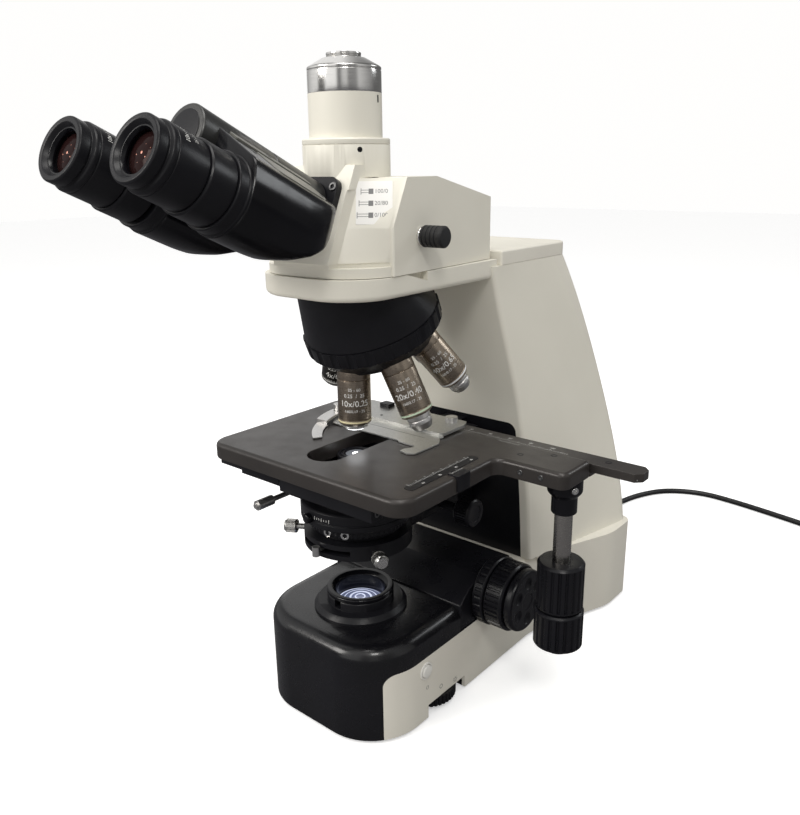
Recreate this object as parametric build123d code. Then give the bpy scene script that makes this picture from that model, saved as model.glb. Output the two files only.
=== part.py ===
from build123d import *
import math
import os

# Trinocular compound microscope, millimetres.
# X is the user's right, Y runs from the user to the arm, Z is up. The origin is
# the point of the bench under the optical axis. The binocular head has its own
# frame, turned by HEAD_TURN about the optical axis.

# Base casing
FOOT_HEIGHT = 3.0
FOOT_RADIUS = 12.0
BASE_TOP = 87.0
BASE_HALF_WIDTH = 75.0
BASE_FRONT = -64.0
BASE_REAR = 309.0
BASE_FLARE_START = 168.0
BASE_FLARE_END = 262.0
BASE_REAR_HALF_WIDTH = 112.0
BASE_FRONT_CORNER = 50.0
BASE_FLARE_RADIUS = 55.0
BASE_REAR_CORNER = 12.0
BASE_EDGE_FILLET = 12.0
BASE_WALL = 3.5
BASE_PLATE_THICKNESS = 3.0
COVER_SEAM_HEIGHT = 63.0
COVER_FRONT_SEAM = -45.0
COVER_REAR_SEAM = 150.0
COVER_SEAM_CORNER = 10.0
WING_FRONT = 172.0

# Base controls
BUTTON_Y = -3.0
BUTTON_Z = 51.0
BUTTON_RADIUS = 5.6
BUTTON_PROUD = 2.6
SIDE_BUTTON_Y = -20.0
SIDE_BUTTON_Z = 46.0
SIDE_BUTTON_RADIUS = 3.6
SIDE_BUTTON_PROUD = 6.0
DIMMER_Y = 27.0
DIMMER_Z = 10.0
DIMMER_RADIUS = 26.0
DIMMER_WIDTH = 9.0
DIMMER_PROUD = 3.0
DIMMER_CLEARANCE = 0.6

# Field lens and lamp
COLLAR_RADIUS = 40.5
COLLAR_FOOT = 6.0
COLLAR_RING_RADIUS = 29.0
COLLAR_HEIGHT = 14.0
COLLAR_BORE = 22.0
COLLAR_NOTCH = 7.0
FIELD_LENS_SEAT = 9.0
LAMP_RADIUS = 16.0
LAMP_HEIGHT = 30.0
LAMP_FIN_RADIUS = 24.0
LAMP_FINS = 4

# Column and arm
COLUMN_WALL = 7.0
COLUMN_TOP = 372.0
COLUMN_FRONT_CORNER = 4.0
COLUMN_REAR_CORNER = 12.0
COLUMN_SECTIONS = (
    # height, front y, front half-width, rear y, rear half-width
    (87.0, 158.0, 76.0, 309.0, 109.0),
    (150.0, 152.0, 75.5, 309.0, 97.0),
    (212.0, 143.0, 74.0, 298.0, 85.0),
    (290.0, 127.0, 67.0, 272.0, 73.0),
    (372.0, 108.5, 60.0, 232.0, 61.0),
)
REAR_SEAM_TOP = 204.0
REAR_SEAM_MIDDLE = 262.0
REAR_SEAM_BOTTOM = 345.0
REAR_SEAM_END = 150.0
LIMB_BOTTOM = 361.5
LIMB_TOP = 377.5
LIMB_FRONT = -58.0
LIMB_HALF_WIDTH = 57.5
LIMB_CORNER = 40.0
LIMB_EDGE = 4.5
LIMB_REAR = 118.0
LIGHT_BORE = 19.0
ARM_CAP_FRONT = 121.5
ARM_CAP_TOP = 384.5
ARM_CAP_FILLET = 2.0

# Panel, rail and stage carrier on the column front
PANEL_HALF_WIDTH = 66.0
PANEL_TOP = 228.0
PANEL_FRONT = 132.0
PANEL_CORNER = 8.0
RAIL_HALF_WIDTH = 16.0
RAIL_DEPTH = 12.0
RAIL_BOTTOM = 134.0
RAIL_TOP = 224.0
SLIDE_GAP = 0.2
CARRIER_HALF_WIDTH = 30.0
CARRIER_FRONT = 100.0
RAIL_FRONT = 122.0
RAIL_BACK = 165.0

# Focus drive
FOCUS_Y = 91.6
FOCUS_Z = 87.0
HUMP_SETBACK = 0.4
HUMP_HALF_WIDTH = BASE_HALF_WIDTH - HUMP_SETBACK
HUMP_BOTTOM = 64.0
HUMP_FRONT = 46.0
HUMP_REAR = 124.0
HUMP_TOP = 106.0
HUMP_WALL = 4.5
SHAFT_RADIUS = 9.0
FINE_SHAFT_RADIUS = 5.0
RUNNING_GAP = 0.05
CLAMP_RING_RADIUS = 31.5
CLAMP_RING_GAP = 0.4
CLAMP_RING_START = BASE_HALF_WIDTH + CLAMP_RING_GAP
CLAMP_RING_WIDTH = 10.6
COARSE_RADIUS = 30.5
COARSE_WIDTH = 18.0
COARSE_RIBS = 30
FINE_RADIUS = 28.0
FINE_WIDTH = 8.0
FINE_DIMPLES = 6
KNOB_GAP = 1.0

# Nosepiece
NOSE_APEX_Z = 387.2
NOSE_TILT = 23.27
NOSE_REACH = 88.7
NOSE_HOUSING_TOP = 50.0
NOSE_HOUSING_SHIFT = 10.0
NOSE_HOUSING_FOOT = 55.5
NOSE_LIGHT_BORE = 10.0
TURRET_RADIUS = 57.0
TURRET_BAND_TOP = -27.5
TURRET_BAND_FOOT = -16.0
TURRET_RIM = 48.5
TURRET_SHOULDER = -6.0
TURRET_GAP = 0.6
TURRET_SCALLOPS = 24
TURRET_AXLE = 9.0
SOCKET_THREAD = 12.5
SOCKET_DEPTH = 9.0
POSITIONS = 6
OBJECTIVES = {
    # name: (turret position, length, barrel radius, nose radius, nose length)
    "objective_10x": (0, 49.5, 13.5, 9.5, 4.5),
    "objective_20x": (1, 58.6, 13.5, 9.5, 13.0),
    "objective_40x": (2, 59.2, 13.5, 8.0, 12.0),
    "objective_100x": (3, 59.8, 13.5, 7.0, 13.0),
    "objective_4x": (5, 30.0, 13.5, 11.0, 3.0),
}

# Head
HEAD_TURN = 3.0
HEAD_BOTTOM = 378.0
HEAD_HALF_WIDTH = 58.0
HEAD_FRONT = -20.0
HEAD_REAR = 113.0
HEAD_SHOULDER = 412.0
HEAD_TOP = 446.0
HEAD_TOP_FRONT = -3.0
HEAD_TOP_REAR = 34.0
HEAD_REAR_TOP = 428.0
HEAD_WALL = 5.0
HEAD_EDGE = 1.6
FLANGE_TOP = 385.0
FLANGE_FRONT = -54.0
DOVETAIL_RADIUS = 28.0
DOVETAIL_DEPTH = 5.0
DOVETAIL_GAP = 0.35
TOWER_HALF_WIDTH = 29.0
TOWER_TOP = 454.7
CROWN_REAR = -7.0
TOWER_BOTTOM = 388.0
CHEEK_SETBACK = 9.0
CAMERA_COLLAR_RADIUS = 32.5
CAMERA_COLLAR_TOP = 473.0
CAMERA_SLEEVE_RADIUS = 27.0
CAMERA_SLEEVE_TOP = 504.0
CHROME_HEIGHT = 17.8
CHROME_TOP = CAMERA_SLEEVE_TOP + CHROME_HEIGHT
PORT_CONE = 5.9
PORT_SHOULDER = CHROME_TOP + PORT_CONE
PORT_LENGTH = 3.7
PORT_TOP = PORT_SHOULDER + PORT_LENGTH
PORT_RADIUS = 12.7
PORT_BORE = 10.0
SELECTOR_Y = 14.0
SELECTOR_Z = 404.0
SELECTOR_ROD = 3.0
SELECTOR_KNOB = 8.0
SELECTOR_KNOB_GAP = 2.5
SELECTOR_KNOB_START = HEAD_HALF_WIDTH + SELECTOR_KNOB_GAP
SELECTOR_KNOB_LENGTH = 19.0
SELECTOR_KNOB_END = SELECTOR_KNOB_START + SELECTOR_KNOB_LENGTH

# Binocular tubes: distances run along the tube from the eyepiece rim
TUBE_TILT = 25.0
RIM_Y = -208.0
RIM_Z = 465.0
HALF_IPD = 33.0
HINGE_RISE = 36.0
HINGE_RADIUS = 17.0
HINGE_START = 50.0
HINGE_SPLIT = 114.0
HINGE_END = 164.0
TOWER_FACE = 170.0
PIN_RADIUS = 5.0
ARM_START = 62.0
ARM_RADIUS = 26.0
ARM_INNER = 21.5
ARM_PLATE_OUTER = 22.0
ARM_PLATE_RISE = 22.0
ARM_END = 144.0
ARM_GAP = 0.5
EYEPIECE_RIM = 19.9
EYEPIECE_BODY = 21.4
EYEPIECE_SLEEVE = 23.0
EYEPIECE_RING = 24.6
EYEPIECE_BORE = 14.0
DIOPTER_START = 34.5
DIOPTER_WIDTH = 17.0
DIOPTER_GAP = 0.06
LEFT_DIOPTER_OUT = 2.5

# Stage
STAGE_TOP = 235.0
STAGE_THICKNESS = 13.5
STAGE_LEFT = -102.0
STAGE_RIGHT = 110.0
STAGE_FRONT = -72.0
STAGE_REAR = 82.0
STAGE_CORNER = 16.0
EXTENSION_RIGHT = 171.0
EXTENSION_FRONT = 42.0
STAGE_HOLE_HALF_WIDTH = 15.5
STAGE_HOLE_FRONT = -49.0
STAGE_HOLE_REAR = 44.0
BAR_TOP = 232.0
BAR_THICKNESS = 7.0
BAR_WIDTH = 20.0
BAR_LEFT = -64.0
BAR_RIGHT = 211.0
GUIDE_GAP = 0.2
FRAME_THICKNESS = 10.0
FRAME_FRONT = -50.0
FRAME_LEFT = -56.0
FRAME_RIGHT = 64.0
FRAME_HOLE = 41.0
HOLDER_THICKNESS = 2.6
FINGER_STEP = 18.5
FINGER_TIP = 1.2
HOLDER_GAP = 0.4
DRIVE_X = 156.0
DRIVE_Y = 70.0
DRIVE_COLLAR_BOTTOM = 190.0
DRIVE_COLLAR_RADIUS = 14.0
DRIVE_SHAFT = 9.0
DRIVE_INNER_SHAFT = 5.0
Y_KNOB_TOP = 150.0
Y_KNOB_BOTTOM = 105.5
X_KNOB_BOTTOM = 70.0
Y_KNOB_RADIUS = 19.0
X_KNOB_RADIUS = 20.0
DRIVE_RIBS = 20

# Condenser
CONDENSER_TOP = 227.0
CONDENSER_NOSE = 13.0
CONDENSER_BODY = 37.0
CONDENSER_BODY_TOP = 196.0
CONDENSER_BODY_BOTTOM = 163.0
CONDENSER_FOOT_RADIUS = 31.0
CONDENSER_FOOT = 149.0
CONDENSER_LENS = 10.5
LEVER_LEVEL = 155.4
LEVER_THICKNESS = 2.2
LEVER_REACH = 50.5
HOLDER_RING = 46.0
HOLDER_RING_TOP = 163.0
HOLDER_RING_HEIGHT = 13.0
LENS_LEVER_X = -39.0
LENS_LEVER_Y = -31.0
LENS_LEVER_Z = 194.5
LENS_LEVER_ROD = 2.2
CENTRING_Z = 156.5
CENTRING_ANGLE = 59.5
CENTRING_TIP = 38.0
CENTRING_HEAD_START = 54.0
CENTRING_HEAD_LENGTH = 11.0
CENTRING_HEAD = 6.0
CENTRING_SHANK = 2.5
CONDENSER_KNOB_X = 44.0
CONDENSER_KNOB_Y = 88.0
CONDENSER_KNOB_Z = 156.5
CONDENSER_KNOB_RADIUS = 13.0

# Mains cord
CORD_DIAMETER = 7.0
INLET_X = 0.0
INLET_Z = 40.0
INLET_WALL = 2.0
INLET_DEPTH = 20.0
CONNECTOR_WIDTH = 26.0
CONNECTOR_HEIGHT = 20.0
CONNECTOR_GAP = 0.15
CONNECTOR_GRIP = 21.0
RELIEF_LENGTH = 20.0
COIL_RADIUS = 38.0
COIL_COLUMNS = 3
COIL_HEIGHT = 14.2
COIL_EXIT = 90.0
PLUG_WIDTH = 26.0
PLUG_HEIGHT = 21.0
PLUG_LENGTH = 34.0
PLUG_LEVEL = 10.7
PLUG_DISTANCE = 36.0
CORD_SHARE = 0.45


def rounded(points, radii):
    """Closed face through the points, each corner rounded by its own radius."""
    return make_face(FilletPolyline(*points, radius=radii, close=True))


def mirrored_outline(half):
    """Points of the right half, front to rear, followed by their mirror images."""
    return half + [(-x, y) for x, y in reversed(half)]


def drum(radius, start, end, bore=0.0):
    """Cylinder on the Z axis from start to end, with a bore if one is given."""
    solid = Pos(0, 0, start) * Cylinder(radius, end - start, align=(Align.CENTER, Align.CENTER, Align.MIN))
    if bore > 0:
        hole = Cylinder(bore, end - start + 2, align=(Align.CENTER, Align.CENTER, Align.MIN))
        solid -= Pos(0, 0, start - 1) * hole
    return solid


def turned(profile):
    """Solid turned about the Z axis from (radius, height) points."""
    face = make_face(Polyline(*[(r, 0, z) for r, z in profile], close=True))
    return revolve(face, Axis.Z)


def ribbed(radius, depth, ribs, start, end, bore=0.0, share=0.62):
    """Knob body with straight ribs: share is the rib's part of each pitch."""
    pitch = 2 * math.pi / ribs
    points = []
    for index in range(ribs):
        base = index * pitch
        low = radius - depth
        for angle, r in ((0, radius), (share, radius), (share + 0.08, low), (0.92, low)):
            turn = base + angle * pitch
            points.append((r * math.cos(turn), r * math.sin(turn)))
    body = extrude(make_face(Polyline(*points, close=True)), end - start)
    body = Pos(0, 0, start) * body
    if bore > 0:
        body -= drum(bore, start - 1, end + 1)
    return body


def along_x(solid, y, z):
    """Put a solid built on the Z axis onto an axis along X through (y, z)."""
    return Pos(0, y, z) * Rot(0, 90, 0) * solid


def prism_x(points, left, right):
    """Extrude a (y, z) outline from x = left to x = right."""
    face = make_face(Polyline(*[(left, y, z) for y, z in points], close=True))
    return extrude(face, right - left, dir=(1, 0, 0))


def box(low, high):
    """Box between two corners."""
    size = [b - a for a, b in zip(low, high)]
    return Pos(*low) * Box(*size, align=(Align.MIN, Align.MIN, Align.MIN))


# Base
def base_outline():
    """Plan outline of the base casing."""
    half = [
        (BASE_HALF_WIDTH, BASE_FRONT),
        (BASE_HALF_WIDTH, BASE_FLARE_START),
        (BASE_REAR_HALF_WIDTH, BASE_FLARE_END),
        (BASE_REAR_HALF_WIDTH, BASE_REAR),
    ]
    radii = [BASE_FRONT_CORNER, BASE_FLARE_RADIUS, BASE_FLARE_RADIUS, BASE_REAR_CORNER]
    return rounded(mirrored_outline(half), radii + radii[::-1])


def base_shell():
    """Open-bottomed shell of the base; its top edge is soft in front of the column."""
    outline = base_outline()
    square = Pos(0, 0, FOOT_HEIGHT) * extrude(outline, BASE_TOP - FOOT_HEIGHT)
    soft = fillet(square.faces().sort_by(Axis.Z)[-1].edges(), BASE_EDGE_FILLET)
    inner = Pos(0, 0, -1) * extrude(offset(outline, -BASE_WALL), BASE_TOP - BASE_WALL + 1)
    inner = fillet(inner.faces().sort_by(Axis.Z)[-1].edges(), BASE_EDGE_FILLET - BASE_WALL)
    reach = BASE_REAR_HALF_WIDTH + 10
    front = box((-reach, BASE_FRONT - 10, -1), (reach, WING_FRONT, BASE_TOP + 1))
    return (soft & front) + (square - front) - inner


def cover_zone():
    """Space that belongs to the black front cover: the top and the nose of the base."""
    points = [
        (BASE_FRONT - 5, 0),
        (COVER_FRONT_SEAM, 0),
        (COVER_FRONT_SEAM, COVER_SEAM_HEIGHT),
        (COVER_REAR_SEAM, COVER_SEAM_HEIGHT),
        (COVER_REAR_SEAM, BASE_TOP + 5),
        (BASE_FRONT - 5, BASE_TOP + 5),
    ]
    zone = prism_x(points, -BASE_HALF_WIDTH - 5, BASE_HALF_WIDTH + 5)
    corner = zone.edges().filter_by(Axis.X).sort_by_distance((0, COVER_FRONT_SEAM, COVER_SEAM_HEIGHT))[0]
    return fillet([corner], COVER_SEAM_CORNER)


def hump_profile(inset=0.0):
    """Side outline of the focus housing that rises out of the cover."""
    return [
        (HUMP_FRONT + inset, HUMP_BOTTOM + inset),
        (HUMP_FRONT + inset, BASE_TOP + 1.0 - inset),
        (HUMP_FRONT + 13 + inset, HUMP_TOP - 7 - inset),
        (HUMP_FRONT + 30, HUMP_TOP - inset),
        (HUMP_REAR - inset, HUMP_TOP - inset),
        (HUMP_REAR - inset, HUMP_BOTTOM + inset),
    ]


def focus_hump():
    """Black housing of the focus drive, with the bore for the coarse shaft."""
    block = prism_x(hump_profile(), -HUMP_HALF_WIDTH, HUMP_HALF_WIDTH)
    hollow = prism_x(
        hump_profile(HUMP_WALL),
        -HUMP_HALF_WIDTH + 2 * HUMP_WALL,
        HUMP_HALF_WIDTH - 2 * HUMP_WALL,
    )
    reach = HUMP_HALF_WIDTH + 1
    bore = along_x(drum(SHAFT_RADIUS + RUNNING_GAP, -reach, reach), FOCUS_Y, FOCUS_Z)
    return block - hollow - bore


def base_cover(shell):
    """Black cover of the base, with the lens hole and the seat of the focus housing."""
    cover = shell & cover_zone()
    cover -= drum(COLLAR_BORE + 4.0, BASE_TOP - 12, BASE_TOP + 4)
    pocket = prism_x(hump_profile(), -BASE_HALF_WIDTH - 2, BASE_HALF_WIDTH + 2)
    return cover - pocket


def base_housing(shell):
    """Cream lower casing: both side walls, the flared rear and its ledges."""
    housing = shell - cover_zone()
    housing -= along_x(drum(BUTTON_RADIUS + 0.3, 0, BASE_HALF_WIDTH + 2), BUTTON_Y, BUTTON_Z)
    housing -= along_x(drum(SIDE_BUTTON_RADIUS + 0.3, -BASE_HALF_WIDTH - 2, 0), SIDE_BUTTON_Y, SIDE_BUTTON_Z)
    half_slot = DIMMER_RADIUS + DIMMER_CLEARANCE
    slot = box(
        (BASE_HALF_WIDTH - 8, DIMMER_Y - half_slot, 0),
        (BASE_HALF_WIDTH + 2, DIMMER_Y + half_slot, DIMMER_Z + DIMMER_WIDTH / 2 + DIMMER_CLEARANCE),
    )
    housing -= slot
    shroud = inlet_block(INLET_WALL, INLET_DEPTH + INLET_WALL) - inlet_block(0, INLET_DEPTH)
    opening = Pos(0, 0, BASE_TOP - BASE_WALL - 1) * extrude(column_face(0, COLUMN_WALL), BASE_WALL + 2)
    return housing - opening - inlet_block(0, INLET_DEPTH) + shroud


def inlet_block(margin, depth):
    """Block the size of the power inlet's cavity, grown by a margin, going depth into the rear wall."""
    half_x = CONNECTOR_WIDTH / 2 + CONNECTOR_GAP + margin
    half_z = CONNECTOR_HEIGHT / 2 + CONNECTOR_GAP + margin
    low = (INLET_X - half_x, BASE_REAR - depth, INLET_Z - half_z)
    return box(low, (INLET_X + half_x, BASE_REAR, INLET_Z + half_z))


def base_plate():
    """Bottom plate that closes the base and carries the feet."""
    plate = extrude(offset(base_outline(), -BASE_WALL), BASE_PLATE_THICKNESS)
    plate = Pos(0, 0, FOOT_HEIGHT) * plate
    half_slot = DIMMER_RADIUS + DIMMER_CLEARANCE
    relief = box(
        (BASE_HALF_WIDTH - DIMMER_RADIUS * 2, DIMMER_Y - half_slot, 0),
        (BASE_HALF_WIDTH, DIMMER_Y + half_slot, FOOT_HEIGHT + BASE_PLATE_THICKNESS + 1),
    )
    if DIMMER_Z - DIMMER_WIDTH / 2 < FOOT_HEIGHT + BASE_PLATE_THICKNESS + DIMMER_CLEARANCE:
        plate -= relief
    return plate


def rubber_feet():
    """Round feet under the bottom plate: one near each corner and one under the lamp."""
    places = [
        (BASE_HALF_WIDTH - 30, BASE_FRONT + 30),
        (BASE_REAR_HALF_WIDTH - 26, BASE_REAR - 28),
    ]
    feet = [Pos(side * x, y, 0) * drum(FOOT_RADIUS, 0, FOOT_HEIGHT) for x, y in places for side in (1, -1)]
    feet.append(drum(FOOT_RADIUS, 0, FOOT_HEIGHT))
    return feet


def power_button():
    """Round push button in the right wall of the base."""
    tip = BASE_HALF_WIDTH + BUTTON_PROUD
    cap = drum(BUTTON_RADIUS, BASE_HALF_WIDTH - 7, tip)
    cap = chamfer(cap.faces().sort_by(Axis.Z)[-1].edges(), 0.7)
    flange = drum(BUTTON_RADIUS + 2.0, BASE_HALF_WIDTH - 9, BASE_HALF_WIDTH - 7)
    return along_x(cap + flange, BUTTON_Y, BUTTON_Z)


def side_button():
    """Small push button in the left wall of the base."""
    cap = drum(SIDE_BUTTON_RADIUS, BASE_HALF_WIDTH - 7, BASE_HALF_WIDTH + SIDE_BUTTON_PROUD)
    cap = chamfer(cap.faces().sort_by(Axis.Z)[-1].edges(), 0.6)
    flange = drum(SIDE_BUTTON_RADIUS + 1.2, BASE_HALF_WIDTH - 9, BASE_HALF_WIDTH - 7)
    return Rot(0, 0, 180) * along_x(cap + flange, -SIDE_BUTTON_Y, SIDE_BUTTON_Z)


def dimmer_wheel():
    """Lamp brightness wheel that shows through the slot in the right wall."""
    centre_x = BASE_HALF_WIDTH + DIMMER_PROUD - DIMMER_RADIUS
    wheel = ribbed(DIMMER_RADIUS, 1.0, 40, DIMMER_Z - DIMMER_WIDTH / 2, DIMMER_Z + DIMMER_WIDTH / 2, 3.0)
    return Pos(centre_x, DIMMER_Y, 0) * wheel


# Light source
def field_lens_collar():
    """Collar around the field lens: a low foot and a notched upper ring."""
    ring = turned([
        (COLLAR_BORE, BASE_TOP - 10),
        (COLLAR_BORE + 3.8, BASE_TOP - 10),
        (COLLAR_BORE + 3.8, BASE_TOP),
        (COLLAR_RADIUS, BASE_TOP),
        (COLLAR_RADIUS, BASE_TOP + 2.0),
        (COLLAR_RADIUS - 3.5, BASE_TOP + COLLAR_FOOT),
        (COLLAR_RING_RADIUS, BASE_TOP + COLLAR_FOOT),
        (COLLAR_RING_RADIUS, BASE_TOP + COLLAR_HEIGHT - 1.0),
        (COLLAR_RING_RADIUS - 1.0, BASE_TOP + COLLAR_HEIGHT),
        (COLLAR_BORE + 2.5, BASE_TOP + COLLAR_HEIGHT),
        (COLLAR_BORE, BASE_TOP + COLLAR_HEIGHT - 2.5),
    ])
    for index in range(3):
        notch = box(
            (COLLAR_BORE - 1, -COLLAR_NOTCH / 2, BASE_TOP + COLLAR_FOOT + 1.0),
            (COLLAR_RING_RADIUS + 1, COLLAR_NOTCH / 2, BASE_TOP + COLLAR_HEIGHT + 1),
        )
        ring -= Rot(0, 0, 30 + 120 * index) * notch
    return ring


def field_lens():
    """Domed field lens held in the collar."""
    seat = BASE_TOP + FIELD_LENS_SEAT - 8
    disc = drum(COLLAR_BORE, seat, seat + 5)
    dome_radius = 60.0
    dome = Pos(0, 0, seat + 5 + 4 - dome_radius) * Sphere(dome_radius)
    top = drum(COLLAR_BORE, seat + 5, seat + 12) & dome
    return disc + top


def led_lamp():
    """Lamp housing with its cooling fins, on the bottom plate under the field lens."""
    floor = FOOT_HEIGHT + BASE_PLATE_THICKNESS
    lamp = drum(LAMP_RADIUS, floor, floor + LAMP_HEIGHT)
    for index in range(LAMP_FINS):
        start = floor + 3 + index * 6
        lamp += drum(LAMP_FIN_RADIUS, start, start + 2.5)
    return lamp


# Column
def column_face(index, inset=0.0):
    """Plan section of the column at one of its stations."""
    height, front, front_half, rear, rear_half = COLUMN_SECTIONS[index]
    half = [(front_half - inset, front + inset), (rear_half - inset, rear - inset)]
    front_corner = max(COLUMN_FRONT_CORNER - inset / 2, 1.5)
    rear_corner = max(COLUMN_REAR_CORNER - inset / 2, 3.0)
    radii = [front_corner, rear_corner]
    return rounded(mirrored_outline(half), radii + radii[::-1])


def column_body(inset=0.0):
    """Smooth body through the column's stations."""
    faces = []
    for index, section in enumerate(COLUMN_SECTIONS):
        faces.append(Pos(0, 0, section[0]) * column_face(index, inset))
    return loft(faces)


def rear_zone():
    """Space behind the curved seam between the column and its rear cover."""
    middle = (COLUMN_TOP + REAR_SEAM_END) / 2
    seam = Spline(
        (0, REAR_SEAM_TOP, COLUMN_TOP + 5),
        (0, REAR_SEAM_MIDDLE, middle + 20),
        (0, REAR_SEAM_BOTTOM, REAR_SEAM_END),
    )
    back = Polyline(
        (0, REAR_SEAM_BOTTOM, REAR_SEAM_END),
        (0, REAR_SEAM_BOTTOM + 60, REAR_SEAM_END),
        (0, REAR_SEAM_BOTTOM + 60, COLUMN_TOP + 5),
        (0, REAR_SEAM_TOP, COLUMN_TOP + 5),
    )
    half = BASE_REAR_HALF_WIDTH
    return Pos(-half, 0, 0) * extrude(make_face(seam + back), 2 * half, dir=(1, 0, 0))


def panel_zone():
    """Recess in the column front that the black guide panel fills."""
    zone = box((-PANEL_HALF_WIDTH, PANEL_FRONT - 20, BASE_TOP - 1), (PANEL_HALF_WIDTH, 170, PANEL_TOP))
    return fillet(zone.edges().filter_by(Axis.Y).group_by(Axis.Z)[-1], PANEL_CORNER)


def column(body, hollow):
    """Cream column casting."""
    shell = body - hollow
    return shell - rear_zone() - panel_zone()


def rear_cover(body, hollow):
    """Cream cover that closes the back of the column."""
    return (body - hollow) & rear_zone()


def column_front_panel(body, hollow):
    """Black panel in the column front behind the stage carrier."""
    panel = (body - hollow) & panel_zone()
    return panel


def arm_limb(body):
    """Arm that carries the head and nosepiece, butted against the column."""
    half = [(LIMB_HALF_WIDTH, LIMB_FRONT), (LIMB_HALF_WIDTH, LIMB_REAR)]
    outline = rounded(mirrored_outline(half), [LIMB_CORNER, 0.5, 0.5, LIMB_CORNER])
    limb = Pos(0, 0, LIMB_BOTTOM) * extrude(outline, LIMB_TOP - LIMB_BOTTOM)
    limb = fillet(limb.faces().sort_by(Axis.Z)[0].edges(), LIMB_EDGE)
    limb -= drum(LIGHT_BORE, LIMB_BOTTOM - 1, LIMB_TOP + 1)
    socket = drum(DOVETAIL_RADIUS + DOVETAIL_GAP, LIMB_TOP - DOVETAIL_DEPTH - 1.0, LIMB_TOP + 1)
    notch = [(-4, LIMB_TOP + 1), (24, LIMB_TOP + 1), (24, LIMB_TOP - 7)]
    recess = prism_x(notch, LIMB_HALF_WIDTH - 7, LIMB_HALF_WIDTH + 1)
    below_cap = box((-80, LIMB_FRONT - 5, LIMB_BOTTOM - 5), (80, LIMB_REAR + 5, COLUMN_TOP))
    return limb - socket - recess - (body & below_cap)


def arm_cap():
    """Cap that closes the top of the column behind the head."""
    _, front, front_half, rear, rear_half = COLUMN_SECTIONS[-1]
    slope = (rear_half - front_half) / (rear - front)
    half = [(front_half + slope * (ARM_CAP_FRONT - front), ARM_CAP_FRONT), (rear_half, rear)]
    outline = rounded(mirrored_outline(half), [2.0, COLUMN_REAR_CORNER, COLUMN_REAR_CORNER, 2.0])
    cap = Pos(0, 0, COLUMN_TOP) * extrude(outline, ARM_CAP_TOP - COLUMN_TOP)
    return fillet(cap.faces().sort_by(Axis.Z)[-1].edges(), ARM_CAP_FILLET)


def carrier_rail(body):
    """Dovetail rail screwed to the column front behind the stage carrier."""
    root = RAIL_HALF_WIDTH - 5.0
    outline = [
        (-root, RAIL_BACK),
        (-root, RAIL_FRONT + RAIL_DEPTH),
        (-RAIL_HALF_WIDTH, RAIL_FRONT),
        (RAIL_HALF_WIDTH, RAIL_FRONT),
        (root, RAIL_FRONT + RAIL_DEPTH),
        (root, RAIL_BACK),
    ]
    rail = Pos(0, 0, RAIL_BOTTOM) * extrude(make_face(Polyline(*outline, close=True)), RAIL_TOP - RAIL_BOTTOM)
    return rail - body


# Focus drive
def coarse_drive():
    """Both coarse knobs on their tubular shaft."""
    start = CLAMP_RING_START + CLAMP_RING_WIDTH + KNOB_GAP
    end = start + COARSE_WIDTH
    knob = ribbed(COARSE_RADIUS, 1.4, COARSE_RIBS, start, end, SHAFT_RADIUS)
    shaft = drum(SHAFT_RADIUS, -end, end, FINE_SHAFT_RADIUS + RUNNING_GAP)
    return [along_x(solid, FOCUS_Y, FOCUS_Z) for solid in (knob, Rot(0, 180, 0) * knob, shaft)]


def fine_knob_body(start):
    """One fine knob with finger dimples in its face."""
    knob = drum(FINE_RADIUS, start, start + FINE_WIDTH)
    knob = chamfer(knob.faces().sort_by(Axis.Z)[-1].edges(), 2.0)
    for index in range(FINE_DIMPLES):
        place = Rot(0, 0, 360 * index / FINE_DIMPLES) * Pos(17.5, 0, start + FINE_WIDTH + 4.0)
        knob -= place * Sphere(6.5)
    return knob


def fine_drive():
    """Both fine knobs on the inner shaft."""
    start = CLAMP_RING_START + CLAMP_RING_WIDTH + 2 * KNOB_GAP + COARSE_WIDTH
    knob = fine_knob_body(start)
    knob -= drum(FINE_SHAFT_RADIUS, start - 1, start + 4)
    shaft = drum(FINE_SHAFT_RADIUS, -start - 4, start + 4)
    return [along_x(solid, FOCUS_Y, FOCUS_Z) for solid in (knob, Rot(0, 180, 0) * knob, shaft)]


def drive_ring():
    """Ring between the housing and a coarse knob."""
    ring = ribbed(
        CLAMP_RING_RADIUS, 1.0, COARSE_RIBS, CLAMP_RING_START, CLAMP_RING_START + CLAMP_RING_WIDTH,
        SHAFT_RADIUS + RUNNING_GAP,
    )
    return along_x(ring, FOCUS_Y, FOCUS_Z)


# Nosepiece
def nose_frame():
    """Frame on the turret's axis: origin at the shoulder circle's centre, Z down the axis."""
    centre_depth = NOSE_REACH * math.cos(math.radians(NOSE_TILT))
    tilt = Pos(0, 0, NOSE_APEX_Z) * Rot(180 + NOSE_TILT, 0, 0)
    return tilt * Pos(0, 0, centre_depth)


def nose_housing():
    """Fixed black housing between the arm and the tilted turret."""
    top = Pos(0, NOSE_HOUSING_SHIFT, LIMB_BOTTOM) * Circle(NOSE_HOUSING_TOP)
    foot = nose_frame() * Pos(0, 0, TURRET_BAND_TOP - TURRET_GAP) * Circle(NOSE_HOUSING_FOOT)
    outer = loft([top, foot], ruled=True)
    axle = nose_frame() * drum(TURRET_AXLE, TURRET_BAND_TOP - TURRET_GAP - 3, TURRET_BAND_TOP + 8)
    light = drum(NOSE_LIGHT_BORE, NOSE_APEX_Z - NOSE_REACH - 10, LIMB_BOTTOM + 1)
    return outer - light + axle


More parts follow.
